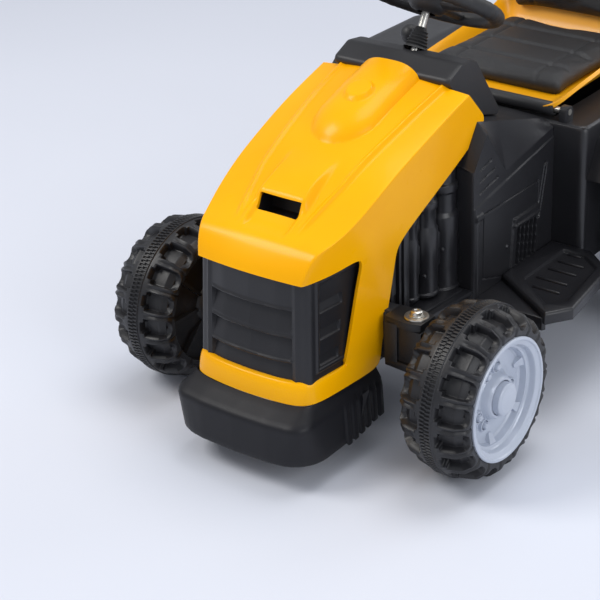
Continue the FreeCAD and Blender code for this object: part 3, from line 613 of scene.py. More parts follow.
def makeGrille():
    low, high = grille["low"], grille["high"]
    line = roundedPath([(88, -38, 0), (80.5, -133, 9), (40, -141.5, 60), (0, -143.0, 0)], 1.6)
    rows = []
    for z in spread(low, high, 150):
        lean = (z - 130) / 130
        row = []
        for i, p in enumerate(line):
            run = (line[min(i + 1, len(line) - 1)] - line[max(i - 1, 0)]).normalized()
            outward = Vector((-run.y, run.x)) * (-1 if run.x > 0 else 1)
            if outward.y > 0.2:
                outward = -outward
            depth = 0.0
            x = p.x
            if x < grille["frontHalf"] and p.y < -130:  # overlapping slats across the front
                for at in grille["louvres"]:
                    drop = at - z + 1.2 * (x / 60) ** 2
                    if 0 <= drop < 28:
                        depth -= grille["louvreDepth"] * (1 - drop / 28) * smooth(0, 1.0, drop)
                    depth += 1.2 * bell(drop + 2.2, 1.6)
            depth += 2.2 * bell(x - grille["ribPlace"], 2.6) * (1 if p.y < -128 else 0)
            if p.y > -124 and x > 74:  # the cheek: a raised border round three slots
                y = p.y
                border = min(y + 121, 100 - (y + 121) * 0.9 - (high - z) * 0.28 - 14, z - 138, 250 - z)
                depth += 1.8 * (smooth(-1.2, 0.8, border) - smooth(3.2, 5.0, border))
                for at in grille["cheekSlots"]:
                    wide = 26 - (216 - at) * 0.12
                    inside = min(y + 114, wide - 102 - y, z - at + 6, at + 6 - z)
                    slope = max(0.0, min(1.0, (z - at + 6) / 12))
                    depth -= 6.0 * smooth(-0.6, 0.8, inside) * (0.35 + 0.65 * slope)
            shrink = 1 - 0.035 * lean
            row.append((p.x * shrink + outward.x * depth, p.y + 7.0 * lean * (1 if p.y < -100 else p.y / -100)
                        + outward.y * depth, z))
        rows.append(row)
    face = Moulding().grid(rows).mirror()
    face.piece("grilleFace", grilleBlack, "frame", replaces=("grille",), slot="grille_black", thick=2.2,
               sharp=30)


makeGrille()
print("grille made")

# bumper: hollow moulding with a sloping shelf and fluted sides
bumper = {
    "plan": [(96, -13, 0), (97, -172, 24), (48, -179, 90), (0, -180.5, 0)],
    "foot": [(98, -13, 0), (101, -169, 44), (48, -177, 80), (0, -179, 0)],
    "shelf": [(85, -13, 0), (84.5, -142, 12), (48, -151.5, 90), (0, -153.5, 0)],
    "ridge": 84.0,
    "top": 103.6,
    "bottom": 36.0,
    "flutes": 6,
    "flutesFrom": -92.0,
    "fluteDepth": 3.4,
    "wall": 3.0,
}


def pointAt(line, share):
    exact = share * (len(line) - 1)
    k = min(int(exact), len(line) - 2)
    return line[k].lerp(line[k + 1], exact - k)


def makeBumper():
    outer = roundedPath(bumper["plan"], 2.0)
    inner = roundedPath(bumper["shelf"], 2.0)
    foot = roundedPath(bumper["foot"], 2.0)
    count = 150
    columns = []
    for i in range(count):
        a, b, c = [pointAt(line, i / (count - 1)) for line in (outer, inner, foot)]
        out = (a - b).normalized()
        wave, low = 0.0, bumper["bottom"]
        y = a.y
        if y > bumper["flutesFrom"]:
            pitch = (-13 - bumper["flutesFrom"]) / bumper["flutes"]
            phase = ((y - bumper["flutesFrom"]) / pitch) % 1.0
            wave = bumper["fluteDepth"] * (smooth(0.0, 0.28, phase) - smooth(0.72, 1.0, phase))
            low = bumper["bottom"] - 3.5 * (smooth(0.0, 0.2, phase) - smooth(0.8, 1.0, phase)) \
                + 9.0 * smooth(-92, -13, y)
        ridge, top = bumper["ridge"], bumper["top"]
        column = [(b.x, b.y, top), (b.x + out.x * 1.6, b.y + out.y * 1.6, top - 0.6)]
        for s in (0.35, 0.7, 0.88):
            column.append((b.x + (a.x - b.x) * s, b.y + (a.y - b.y) * s, top + (ridge + 3.0 - top) * s))
        column.append((a.x - out.x * 0.9 + out.x * wave * 0.4, a.y - out.y * 0.9, ridge + 2.2))
        column.append((a.x + out.x * wave * 0.7, a.y, ridge - 0.6))
        for s in (0.08, 0.3, 0.55, 0.8, 0.94):
            lower = a.lerp(c, s)
            column.append((lower.x + out.x * wave, lower.y, ridge + (low - ridge) * s))
        column.append((c.x + out.x * wave - out.x * 1.6, c.y - out.y * 1.6, low))
        column.append((c.x - out.x * 8, c.y - out.y * 8, low + 0.6))
        columns.append(column)
    shell = Moulding().grid(columns).mirror()
    shell.piece("bumperMoulding", bumperBlack, "frame", replaces=("front_bumper",), slot="bumper_black",
                thick=bumper["wall"], sharp=40)


makeBumper()
print("bumper made")

# wheels: hollow moulded tyres with a knurled band, scalloped lugs and pressed-in rims
frontWheel = {"radius": 105.0, "rim": 76.0, "width": 92.0, "lugs": 18, "knurls": 132, "halfTrack": 217.0,
              "pocketDepth": 11.0, "pocketWide": 12.2, "bolts": 6, "perLug": 44, "backRibs": 8}
rearWheel = {"radius": 140.0, "rim": 102.0, "width": 96.0, "lugs": 22, "knurls": 132, "halfTrack": 228.0,
             "pocketDepth": 12.0, "pocketWide": 14.2, "bolts": 6, "perLug": 36, "backRibs": 8}
capShare = 0.27  # the hub cap's radius over the rim's


def tyreProfile(wheel):  # (along the axle, radius) from the outer bead over the tread to the inner bead
    r, rim, half = wheel["radius"], wheel["rim"], wheel["width"] / 2
    corners = [(half - 9, rim - 1.5, 0), (half - 1.5, rim - 1.5, 2.5), (half, rim + 6, 6),
               (half - 1, r - 17, 10), (half - 12, r - 6.5, 14), (9.5, r - 1.5, 3), (8.0, r - 1.5, 0.4),
               (7.2, r, 0.6), (0, r, 0)]
    return [(p.x, p.y) for p in roundedPath(corners, 1.5)]


def tyreRelief(wheel, axial, angle, run):
    # run is the length from the band's edge outward along the profile
    lugs, wide = wheel["lugs"], wheel["pocketWide"]
    pitch = 2 * math.pi / lugs
    turn = (angle + pitch / 2) % pitch - pitch / 2
    offset = turn * (wheel["radius"] - 8)
    if abs(axial) < 7.6:  # knurled band: fine bars between two plain rings
        phase = (angle * wheel["knurls"] / (2 * math.pi)) % 1.0
        return 2.2 * smooth(0.16, 0.3, abs(phase - 0.5)) if abs(axial) < 6.0 else 0.0
    length = wheel["width"] / 2 - 5.5
    inner = 3.0
    neck = min(wide * 0.6 - abs(offset), run - inner, inner + 9 - run)
    bodyStart, bodyEnd = inner + 4.5, length - wide + 7.0
    if run > bodyEnd:
        body = wide - math.hypot(offset, run - bodyEnd)
    else:
        body = min(wide - abs(offset), run - bodyStart)
    pocket = max(neck * 0.9, body)
    shallow = 1 - 0.25 * smooth(bodyStart, length + 5, run)
    # between the lugs the shoulder dips a little, which scallops the outline
    dip = smooth(wide + 0.5, wide + 6.5, abs(offset)) * smooth(6, 16, run)
    dip *= 1 - smooth(length + 8, length + 20, run)
    return wheel["pocketDepth"] * smooth(-0.4, 1.6, pocket) * shallow + 2.6 * dip


def makeTyre(name, wheel, side, axleY, body, node):
    profile = tyreProfile(wheel)
    count = wheel["lugs"] * wheel["perLug"]
    runs, total = [], 0.0
    for i in range(len(profile) - 1, -1, -1):
        if i < len(profile) - 1:
            total += math.dist(profile[i], profile[i + 1])
        runs.insert(0, total)
    edge = next(run for (a, r), run in zip(profile, runs) if a < 8.3)
    line = [(a, r, max(0.0, run - edge)) for (a, r), run in zip(profile, runs)]
    line += [(-a, r, run) for a, r, run in reversed(line[:-1])]
    normals = []
    for i, (a, r, _) in enumerate(line):
        p, q = line[max(i - 1, 0)], line[min(i + 1, len(line) - 1)]
        d = Vector((q[0] - p[0], q[1] - p[1])).normalized()
        normal = Vector((d.y, -d.x))
        normals.append(normal if normal.dot(Vector((a, r - wheel["rim"]))) > 0 else -normal)
    centre = wheel["radius"]
    skew = math.pi / wheel["lugs"]
    rows = []
    for k in range(count):
        angle = 2 * math.pi * k / count
        row = []
        for (a, r, run), n in zip(line, normals):
            deep = tyreRelief(wheel, a, angle + (skew if a < 0 else 0.0), run)
            axial, radial = a - n.x * deep, r - n.y * deep
            row.append((side * (wheel["halfTrack"] + axial), axleY + radial * math.sin(angle),
                        centre + radial * math.cos(angle)))
        rows.append(row)
    tyre = Moulding().grid(rows, closeRows=True)
    # the back: a dished disc with ribs round the hub boss
    half, rim = wheel["width"] / 2, wheel["rim"]
    back = [(-half + 9, rim - 1.5), (-half + 12, rim - 3), (-half + 13, rim * 0.62), (-half + 10, rim * 0.5),
            (-half + 9, 26), (-half + 1, 22), (-half, 19), (-half, 7), (-half + 20, 6.1)]
    tyre.lathe([(side * a, r) for a, r in back], (side * wheel["halfTrack"], axleY, centre), across, 96)
    for k in range(wheel["backRibs"]):
        angle = 2 * math.pi * k / wheel["backRibs"]
        ray = Vector((0, math.sin(angle), math.cos(angle)))
        flat = Vector((0, ray.z, -ray.y)) * 2
        start, end = ray * 24, ray * (rim - 4)
        x0, x1 = side * (wheel["halfTrack"] - half + 6), side * (wheel["halfTrack"] - half + 14)
        middle = Vector((0, axleY, centre))
        corners = [middle + q + f for q in (start, end) for f in (flat, -flat)]
        tyre.prism([(c.y, c.z) for c in (corners[0], corners[2], corners[3], corners[1])], "x", x0, x1)
    tyre.piece(name, tyreBlack, body, replaces=(node,), slot="tyre_black", sharp=48)


def makeRim(name, wheel, side, axleY, body, node):
    rim, half, centre = wheel["rim"] - 0.8, wheel["width"] / 2, wheel["radius"]
    cap = rim * capShare
    middle = (side * wheel["halfTrack"], axleY, centre)
    profile = [(half - 8, rim), (half + 0.2, rim), (half + 1.2, rim - 1.2), (half + 1.2, rim - 3.6),
               (half - 0.6, rim - 4.6), (half - 1.2, rim - 5.4), (half - 3.2, rim - 10),
               (half - 4.4, rim - 10.6), (half - 10.5, rim - 12.0), (half - 12.0, rim - 13.4),
               (half - 12.6, rim - 16.0), (half - 20.5, rim - 17.5), (half - 22.5, rim - 20),
               (half - 23.0, cap + 19), (half - 22.0, cap + 12), (half - 19.5, cap + 9),
               (half - 12.0, cap + 5.5), (half - 9.4, cap + 3.6), (half - 9.2, cap + 0.8),
               (half - 12, cap + 0.4), (half - 30, cap + 0.4)]
    rounded = [(*profile[0], 0)] + [(a, r, 0.7) for a, r in profile[1:-1]] + [(*profile[-1], 0)]
    line = [(side * p.x, p.y) for p in roundedPath(rounded, 3.0)]
    disc = Moulding().lathe(line, middle, across, 128)
    face = Moulding()
    step = 360 // wheel["bolts"]
    for k in range(wheel["bolts"]):  # domed bolts in shallow cups, in pairs round the cap
        angle = math.radians(step * k + (13 if k % 2 else -13) + 20)
        reach = cap + 15.5
        foot = Vector((middle[0] + side * (half - 23), axleY + reach * math.sin(angle),
                       centre + reach * math.cos(angle)))
        cup = [(0, 8.4), (4.0, 8.2), (4.6, 7.4), (4.2, 6.4), (0.6, 6.0), (0.6, 4.6), (6.4, 4.3), (7.8, 3.2),
               (8.0, 0.0)]
        face.lathe([(side * a, r) for a, r in cup], foot, across, 20)
    for k in range(wheel["bolts"]):  # wedge tabs under the flange
        angle = math.radians(step * k + 8)
        ray = Vector((0, math.sin(angle), math.cos(angle)))
        flat = Vector((0, ray.z, -ray.y))
        base = Vector(middle) + Vector((side * (half - 22.5), 0, 0))
        outerEnd, innerEnd = ray * (rim - 14.5), ray * (rim - 28)
        up = Vector((side * 9, 0, 0))
        p = [base + outerEnd + flat * 7, base + outerEnd - flat * 7, base + innerEnd - flat * 2.5,
             base + innerEnd + flat * 2.5]
        q = [p[0] + up, p[1] + up, p[2] + up * 0.25, p[3] + up * 0.25]
        face.add(p + q, [(0, 1, 2, 3), (7, 6, 5, 4), (0, 4, 5, 1), (1, 5, 6, 2), (2, 6, 7, 3), (3, 7, 4, 0)])
    disc.add(face.points, face.faces)
    disc.piece(name, rimSilver, body, replaces=(node,), slot="silver_plastic", sharp=36)


def makeCap(name, wheel, side, axleY, body, node):
    rim, half, centre = wheel["rim"] - 0.8, wheel["width"] / 2, wheel["radius"]
    cap = rim * capShare
    middle = (side * wheel["halfTrack"], axleY, centre)
    line = roundedPath([(half - 16, cap, 0), (half - 1.5, cap - 0.6, 2.2), (half + 0.6, cap - 5, 3),
                        (half + 1.4, 0.01, 0)], 1.2)
    dome = Moulding().lathe([(side * p.x, p.y) for p in line], middle, across, 64)
    dome.piece(name, rimSilver, body, replaces=(node,), slot="silver_plastic", sharp=40)


for place, wheel, axleY in (("front", frontWheel, 0.0), ("rear", rearWheel, (rearAxleY - frontAxleY) / mm)):
    for name, side in sides:
        corner = place + "_" + name
        for make, kind, stem in ((makeTyre, "tyre", "tyre_"), (makeRim, "rim", "rim_"),
                                 (makeCap, "cap", "hub_cap_")):
            make(kind + place.title() + name.title(), wheel, side, axleY, corner + "_wheel", stem + corner)
print("wheels made")


def toLine(y, z, a, b):  # how far (y, z) is from the run between two points
    run = (b[0] - a[0], b[1] - a[1])
    t = ((y - a[0]) * run[0] + (z - a[1]) * run[1]) / (run[0] ** 2 + run[1] ** 2)
    t = min(max(t, 0.0), 1.0)
    return math.hypot(y - a[0] - run[0] * t, z - a[1] - run[1] * t)


def above(y, z, a, b):  # positive over the line through two points, negative under it
    length = math.hypot(b[0] - a[0], b[1] - a[1])
    return ((b[0] - a[0]) * (z - a[1]) - (b[1] - a[1]) * (y - a[0])) / length


def inBox(y, z, y0, y1, z0, z1):
    return min(y - y0, y1 - y, z - z0, z1 - z)


# engine sides: upright plates and three stepped pipes behind each front wheel
engine = {
    "plate": 79.0,
    # place along the vehicle, radius, foot height, how far the pipe stands out of its width
    "pipes": [(69, 10.5, 154, 0.9), (101, 17.0, 150, 0.85), (140, 20.5, 143, 0.85)],
    "plates": [(6, 3.0), (22, 5.0), (38, 2.5), (49, 5.5)],
    "rivets": [(153, 223), (113, 205), (74, 185)],
    "head": [(-12, 236), (40, 262), (151, 305)],
    "shelf": 142.0,
}


def makeEngineSide(name, side):
    block = Moulding()
    plate = engine["plate"]
    outline = [(-12, 180), (26, 180), (26, 144), (151, 134), (151, 305), (40, 262), (-12, 236)]
    block.prism(outline, "x", plate - 1, plate + 4)
    for y, wide in engine["plates"]:
        foot = 180 if y < 30 else 142
        head = along(engine["head"], y) - 6
        block.prism([(y - wide, foot), (y + wide, foot), (y + wide, head + 2), (y - wide, head - 2)],
                    "x", plate, plate + 8 + wide * 0.5)
    for y, radius, foot, squash in engine["pipes"]:
        head = along(engine["head"], y) + 2
        tall = head - foot
        sleeve, waist, neck = tall * 0.2, tall * 0.62, tall * 0.8
        profile = [(0, 0.01), (0, radius * 1.12), (3.5, radius * 1.12), (5, radius), (sleeve, radius),
                   (sleeve + 1, radius * 1.03), (waist, radius * 1.03), (waist + 5, radius * 0.86),
                   (waist + 7, radius * 0.86), (neck, radius * 0.86), (neck + 3, radius * 0.97),
                   (neck + 12, radius * 0.97), (neck + 14, radius * 0.8), (tall, radius * 0.8)]
        pipe = Moulding().lathe(profile, (0, y, foot), upward, 40)
        pipe.shift(lambda p: Vector((plate + 2 + p.x * squash, p.y, p.z)))
        block.add(pipe.points, pipe.faces)
        # a flat key runs down the rear flank of the sleeve
        block.prism([(y + radius * 0.5, foot + tall * 0.24), (y + radius * 0.9, foot + tall * 0.26),
                     (y + radius * 0.9, foot + tall * 0.56), (y + radius * 0.5, foot + tall * 0.6)],
                    "x", plate, plate + 2 + radius * squash * 0.82)
    for y, z in engine["rivets"]:
        block.lathe([(0, 2.6), (2.2, 2.5), (3.2, 1.6), (3.5, 0.01)], (plate + 16, y + 3, z), across, 14)
    shelf = engine["shelf"]
    block.prism([(78, 26), (104, 26), (112, 44), (119, 149), (78, 149)], "z", shelf - 6, shelf)
    block.prism([(84, 60), (106, 60), (110, 140), (84, 140)], "z", shelf, shelf + 4)
    block.turned(side).piece("engineSide" + name.title(), engineBlack, "frame",
                             replaces=("engine_side_" + name,), slot="engine_black", bevel=0.9)


for name, side in sides:
    makeEngineSide(name, side)
print("engine sides made")

# centre cowl: the body between hood and seat, with relief on both sides
cowl = {
    "half": 120.0,
    "front": 150.0,
    "back": 335.0,
    "foot": 110.0,
    "shoulder": [(150, 298), (178, 338), (222, 276), (335, 296)],
    "top": [(150, 302), (178, 351), (335, 305)],
    "lean": 14.0,
    "step": ((150, 250), (335, 284)),
    "grooves": [((164, 266), (204, 274)), ((164, 281), (196, 288)), ((164, 296), (189, 302))],
    "strip": ((316, 252), (300, 187)),
    "vent": (240, 290, 138, 190),
    "ventSlots": 5,
}


def cowlRelief(y, z):
    out = 1.8 * (1 - smooth(-1.0, 1.0, above(y, z, *cowl["step"])))
    for a, b in cowl["grooves"]:
        out -= 2.0 * (1 - smooth(0.5, 1.5, toLine(y, z, a, b)))
    strip = toLine(y, z, *cowl["strip"])
    out -= 1.8 * (1 - smooth(0.4, 1.3, abs(strip - 3.4)))
    for end in cowl["strip"]:
        out += 1.4 * (1 - smooth(1.6, 2.6, math.hypot(y - end[0], z - end[1])))
    # edge bead along the front, with its small notch
    out += 1.5 * (1 - smooth(2.0, 3.4, abs(y - 160))) * (1 - smooth(228, 232, z))
    notch = inBox(y, z, 152, 168, 232, 241)
    out += 2.5 * smooth(-0.5, 1.5, notch)
    y0, y1, z0, z1 = cowl["vent"]
    slant = (z - z0) * 0.08
    surround = inBox(y - slant, z, y0 - 7, y1 + 5, z0 - 8, z1 + 7)
    out += 2.4 * smooth(-1.0, 1.5, surround)
    bar = inBox(y - slant, z, y0 - 6, y1 + 6, z1 + 4, z1 + 15)
    out += 3.2 * smooth(-1.0, 1.5, bar)
    pitch = (y1 - y0) / cowl["ventSlots"]
    phase = (y - slant - y0) % pitch
    gap = min(inBox(y - slant, z, y0, y1, z0, z1), phase - 2.2, pitch - 2.2 - phase + 1.4)
    out -= 6.0 * smooth(-0.6, 1.0, gap)
    panel = min(inBox(y, z, 170, 300, 128, 236), above(y, z, (170, 150), (240, 128)))
    out -= 1.4 * (1 - smooth(0.3, 1.2, abs(panel)))
    rivet = math.hypot(y - 226, z - 172)
    out += 1.8 * (1 - smooth(2.4, 3.6, rivet))
    return out


def makeCowl():
    rows = []
    half, lean = cowl["half"], cowl["lean"]
    for y in spread(cowl["front"], cowl["back"], 210):
        shoulder, top = along(cowl["shoulder"], y), along(cowl["top"], y)
        row = []
        for z in spread(cowl["foot"], shoulder, 180):
            row.append((half - 1.5 + cowlRelief(y, z) * smooth(0, 2, y - 150), y, z))
        for t in spread(0.04, 1.0, 26):
            z = shoulder + (top - shoulder) * t
            row.append((half - 1.5 - lean * t + cowlRelief(y, shoulder) * (1 - smooth(0.0, 0.5, t)), y, z))
        for t in (0.03, 0.1, 0.4, 0.7, 1.0):
            row.append(((half - 1.5 - lean) * (1 - t), y, top + 2.5 * smooth(0, 0.3, t)))
        rows.append(row)
    # the front turns in behind the engine side
    first = rows[0]
    rows.insert(0, [(max(p[0] - 3, 0), p[1] - 1.2, p[2]) for p in first])
    rows.insert(0, [(p[0] * 0.7, p[1] + 2, p[2]) for p in first])
    shell = Moulding().grid(rows).mirror()
    shell.piece("cowlBody", cowlBlack, "frame", replaces=("centre_cowl",), slot="cowl_black", thick=2.2,
                sharp=34)
    # two ears carry the lever's pin
    foot, middle = boxIn("shift_lever")[0].z, middleIn("shift_lever")
    ears = Moulding()
    for x in (middle.x - 10, middle.x + 10):
        ears.prism([(middle.y - 10, foot - 10), (middle.y + 10, foot - 10), (middle.y + 6, foot + 15),
                    (middle.y - 6, foot + 15)], "x", x - 2, x + 2)
    ears.piece("leverEars", cowlBlack, "frame", slot="cowl_black", bevel=0.8)


makeCowl()
print("cowl made")

# foot plates: edge flange, sunk tread and cross ribs
plates = {
    "plan": [(121, 214), (221, 149), (242, 181), (224, 300), (182, 334.6), (121, 334.6)],
    "top": 140.0,
    "deep": 16.0,
    "sunk": 4.0,
    "tread": [(150, 220), (208, 175), (225, 194), (209, 294), (180, 317), (150, 317)],
    "ribs": [190, 208, 233, 262, 287, 311],
}


def inset(outline, amount):
    line = [Vector(p) for p in outline]
    middle = sum(line, Vector((0, 0))) / len(line)
    shrunk = []
    for before, here, after in zip(line[-1:] + line[:-1], line, line[1:] + line[:1]):
        a, b = (here - before).normalized(), (after - here).normalized()
        n = (Vector((-a.y, a.x)) + Vector((-b.y, b.x))).normalized()
        n = n if n.dot(middle - here) > 0 else -n
        sine = max(0.4, abs(n.dot(Vector((-a.y, a.x)))))
        shrunk.append(here + n * amount / sine)
    return shrunk


def makeFootPlate(name, side):
    plate = Moulding()
    top, deep = plates["top"], plates["deep"]
    rings = [([Vector(p) for p in plates["plan"]], top - deep), (inset(plates["plan"], -0.1), top - 3),
             (inset(plates["plan"], 2.5), top), (inset(plates["tread"], -3), top),
             (inset(plates["tread"], -1.2), top - 1), (inset(plates["tread"], 0.4), top - plates["sunk"])]
    rows = [[(p.x, p.y, z) for p in ring] for ring, z in rings]
    plate.grid(rows, closeColumns=True).ends(len(rows), len(rows[0]))
    apron = [(120.4, 151), (216, 151), (219, 156), (126, 216), (120.4, 216)]
    plate.prism(apron, "z", top - 26, top - 9)
    sunkTop = top - plates["sunk"] - 0.5
    for y in plates["ribs"]:
        left = 158 if y > 214 else 158 + (214 - y) * 1.6
        right = along([(190, 214), (208, 212), (294, 200), (317, 178)], y) - 6
        if right - left > 12:
            plate.prism([(y, sunkTop), (y + 5.0, sunkTop), (y + 4.0, top - 1.4), (y + 1.0, top - 1.4)],
                        "x", left, right)
    plate.turned(side).piece("footPlate" + name.title(), treadBlack, "frame",
                             replaces=("foot_plate_" + name,), slot="tread_black", bevel=1.1)


for name, side in sides:
    makeFootPlate(name, side)
print("foot plates made")

# rear body and fenders
rear = {
    "boxHalf": 165.0,
    "fenderHalf": 268.0,
    "foot": 112.0,
    "fenderTop": 306.0,
    "hatchHalf": 108,
    "hatchDepth": 20,
    "hingeEars": (-128, 128),
    "pressedLines": (168, 190, 212),
}


def makeRearBody():
    low, high = boxIn("rear_body")
    half = rear["boxHalf"]
    front, back, top = low.y, high.y, boxIn("fender_left")[1].z - 4
    plan = roundedPath([(0, front, 0), (half, front, 9), (half, back, 18), (0, back, 0)], 5.0)
    rows = []
    for z, grow in ((rear["foot"], -3), (rear["foot"] + 3, 0), (150, 0), (200, 0), (260, 0), (top - 6, 0),
                    (top - 2, -1.5), (top, -5)):
        rows.append([(p.x + (grow if p.x > 4 else 0), p.y - (grow if p.y < 400 else -grow), z)
                     for p in plan])
    body = Moulding().grid(rows).mirror()
    # the deck round the storage hatch, with its rim and the seat's hinge ears
    hatch, hatchFront, hatchBack = rear["hatchHalf"], front + 22, back - 44
    deckZ = top - 1
    ringOut = [(-half + 4, front + 3), (half - 4, front + 3), (half - 4, back - 4), (-half + 4, back - 4)]
    ringIn = [(-hatch, hatchFront), (hatch, hatchFront), (hatch, hatchBack), (-hatch, hatchBack)]
    body.grid([[(x, y, deckZ) for x, y in ringOut], [(x, y, deckZ) for x, y in ringIn],
               [(x, y, deckZ - rear["hatchDepth"]) for x, y in ringIn]], closeColumns=True)
    body.prism(ringIn, "z", 128, 131)
    body.grid([[(x, y, deckZ - rear["hatchDepth"]) for x, y in ringIn],
               [(x * 0.98, y, 130) for x, y in ringIn]], closeColumns=True)
    pivot = middleIn("seat_pin")
    for x in rear["hingeEars"]:
        body.prism([(pivot.y - 9, top - 8), (pivot.y + 9, top - 8), (pivot.y + 9, pivot.z),
                    (pivot.y + 5, pivot.z + 7), (pivot.y - 5, pivot.z + 7), (pivot.y - 9, pivot.z)],
                   "x", x - 5.5, x + 5.5)
    for z in rear["pressedLines"]:  # across the back
        body.box(-150, 150, back - 1, back + 1.6, z, z + 6)
    body.piece("rearBody", cowlBlack, "frame", replaces=("rear_body",), slot="cowl_black", bevel=1.2)


def makeFender(name, side):
    low, high = boxIn("fender_left")
    wheelY = inMillimetres(middleOf("rear_axle")).y
    top = rear["fenderTop"]
    line = roundedPath([(low.y, low.z + 4, 0), (low.y + 22, 278, 26), (wheelY - 102, top, 34),
                        (wheelY + 102, top, 40), (high.y - 4, 262, 26), (high.y, low.z, 0)], 4.0)
    inner, outer = rear["boxHalf"] - 2, rear["fenderHalf"]
    rows = []
    for before, p, after in zip(line[:1] + line[:-1], line, line[1:] + line[-1:]):
        run = (after - before).normalized()
        out = Vector((-run.y, run.x))
        row = []
        for x, drop in ((inner, 0), (inner + 8, 0), (inner + 14, -1.8), (inner + 22, -1.8), (inner + 28, 0),
                        (outer - 16, 0), (outer - 9, 0.6), (outer - 4, 2.4), (outer - 1, 5.5), (outer, 10),
                        (outer - 0.5, 15), (outer - 3, 15.5), (outer - 4, 12)):
            row.append((x, p.x - out.x * drop, p.y - out.y * drop))
        rows.append(row)
    arch = Moulding().grid(rows).turned(side)
    arch.piece("fender" + name.title(), cowlBlack, "frame", replaces=("fender_" + name,),
               slot="cowl_black", thick=2.6, sharp=34)


makeRearBody()
for name, side in sides:
    makeFender(name, side)
print("rear body made")

# dash with its dial, buttons and grilles
dash = {
    "half": 84.0,
    "outline": [(197.5, 351, 0), (142.5, 406, 6), (176, 421, 16), (206, 417, 14), (268, 327, 5),
                (199, 347, 0)],
    "middle": (205, 385),
    "faceRun": (62, -90),
    "dialNumbers": 9,
    "dialStart": -130,
    "dialSweep": 260,
    "handAngle": -70,
    "buttonCap": [(-6, 8.8), (4.6, 8.8), (5.8, 8.2), (6.4, 6.8), (5.4, 4.2), (5.0, 0.01)],
    "speakerPitch": 4.4,
}


def dashFrame():  # down the dash's face, and straight out of it
    down = Vector((0, *dash["faceRun"])).normalized()
    return down, Vector((0, -down.z, down.y))


def radiusIn(node):
    low, high = boxIn(node)
    return (high.x - low.x) / 2


def makeDash():
    line = roundedPath(dash["outline"], 3.0)
    half = dash["half"]
    normal = dashFrame()[1]
    rows = []
    middle = Vector(dash["middle"])
    for x, shrink in ((-half, 0.9), (-half, 0.965), (-half + 2, 0.99), (-half + 7, 1.0),
                      (-half * 0.5, 1.0), (0, 1.0), (half * 0.5, 1.0),
                      (half - 7, 1.0), (half - 2, 0.99), (half, 0.965), (half, 0.9)):
        rows.append([(x, *(middle + (p - middle) * shrink)) for p in line])
    block = Moulding().grid(rows, closeColumns=True).ends(len(rows), len(line))
    tools = []
    for node, grow in (("gauge", 0.6), ("speaker_cover", 0.5), ("charge_socket", 0.5),
                       ("power_button", 0.5), ("music_button", 0.5)):
        centre, radius = middleIn(node), radiusIn(node) + grow
        bore = Moulding().tube([centre - normal * 9, centre + normal * 14], radius, 40)
        tools.append(cutter(bore, node + "Tool"))
    tools.append(cutter(Moulding().tube([(0, 140, 316), (0, 216, 442)], 13.4, 32), "columnTool"))
    block.piece("dashBlock", dashBlack, "frame", replaces=("dashboard",), slot="dash_black", sharp=36,
                cuts=tools)
    dropCutters(*tools)


def makeDial():
    down, normal = dashFrame()
    middle, radius = middleIn("gauge"), radiusIn("gauge")
    bezel = Moulding().lathe([(-3, radius - 0.4), (2.4, radius - 0.4), (3.4, radius - 1.6),
                              (3.2, radius - 3.4), (0.4, radius - 4.4)], middle, normal, 72)
    bezel.piece("dialBezel", rimSilver, "frame", replaces=("gauge",), slot="silver_plastic")
    face = Moulding()
    face.lathe([(-2, radius - 4), (0.5, radius - 4.2), (0.5, 0.01)], middle, normal, 72)
    face.piece("dialFace", dialWhite, "frame", slot="gauge_face")
    marks = Moulding()
    count = dash["dialNumbers"] * 4 - 4
    for k in range(count + 1):
        angle = math.radians(dash["dialStart"] + dash["dialSweep"] * k / count)
        ray = across * math.sin(angle) - down * math.cos(angle)
        flat = ray.cross(normal)
        long, thick = (5.0, 0.55) if k % 4 == 0 else (2.6, 0.3)
        ends = ((radius - 6, thick), (radius - 6, -thick), (radius - 6 - long, -thick),
                (radius - 6 - long, thick))
        corners = [middle + normal * 0.9 + ray * r + flat * f for r, f in ends]
        marks.add(corners, [(0, 1, 2, 3)])
    marks.piece("dialMarks", dashBlack, "frame", slot="dash_black", thick=0.25)
    angle = math.radians(dash["handAngle"])
    ray = across * math.sin(angle) - down * math.cos(angle)
    flat = ray.cross(normal)
    hand = Moulding()
    tip, tail = middle + ray * (radius - 9) + normal * 1.6, middle - ray * 6 + normal * 1.6
    hand.add([tip, tail + flat * 1.6, tail - flat * 1.6], [(0, 1, 2)])
    hand.lathe([(0.5, 3.4), (2.2, 3.2), (2.8, 2.2), (3.0, 0.01)], middle, normal, 24)
    hand.piece("dialHand", redShine, "frame", slot="red_plastic", thick=0.5)


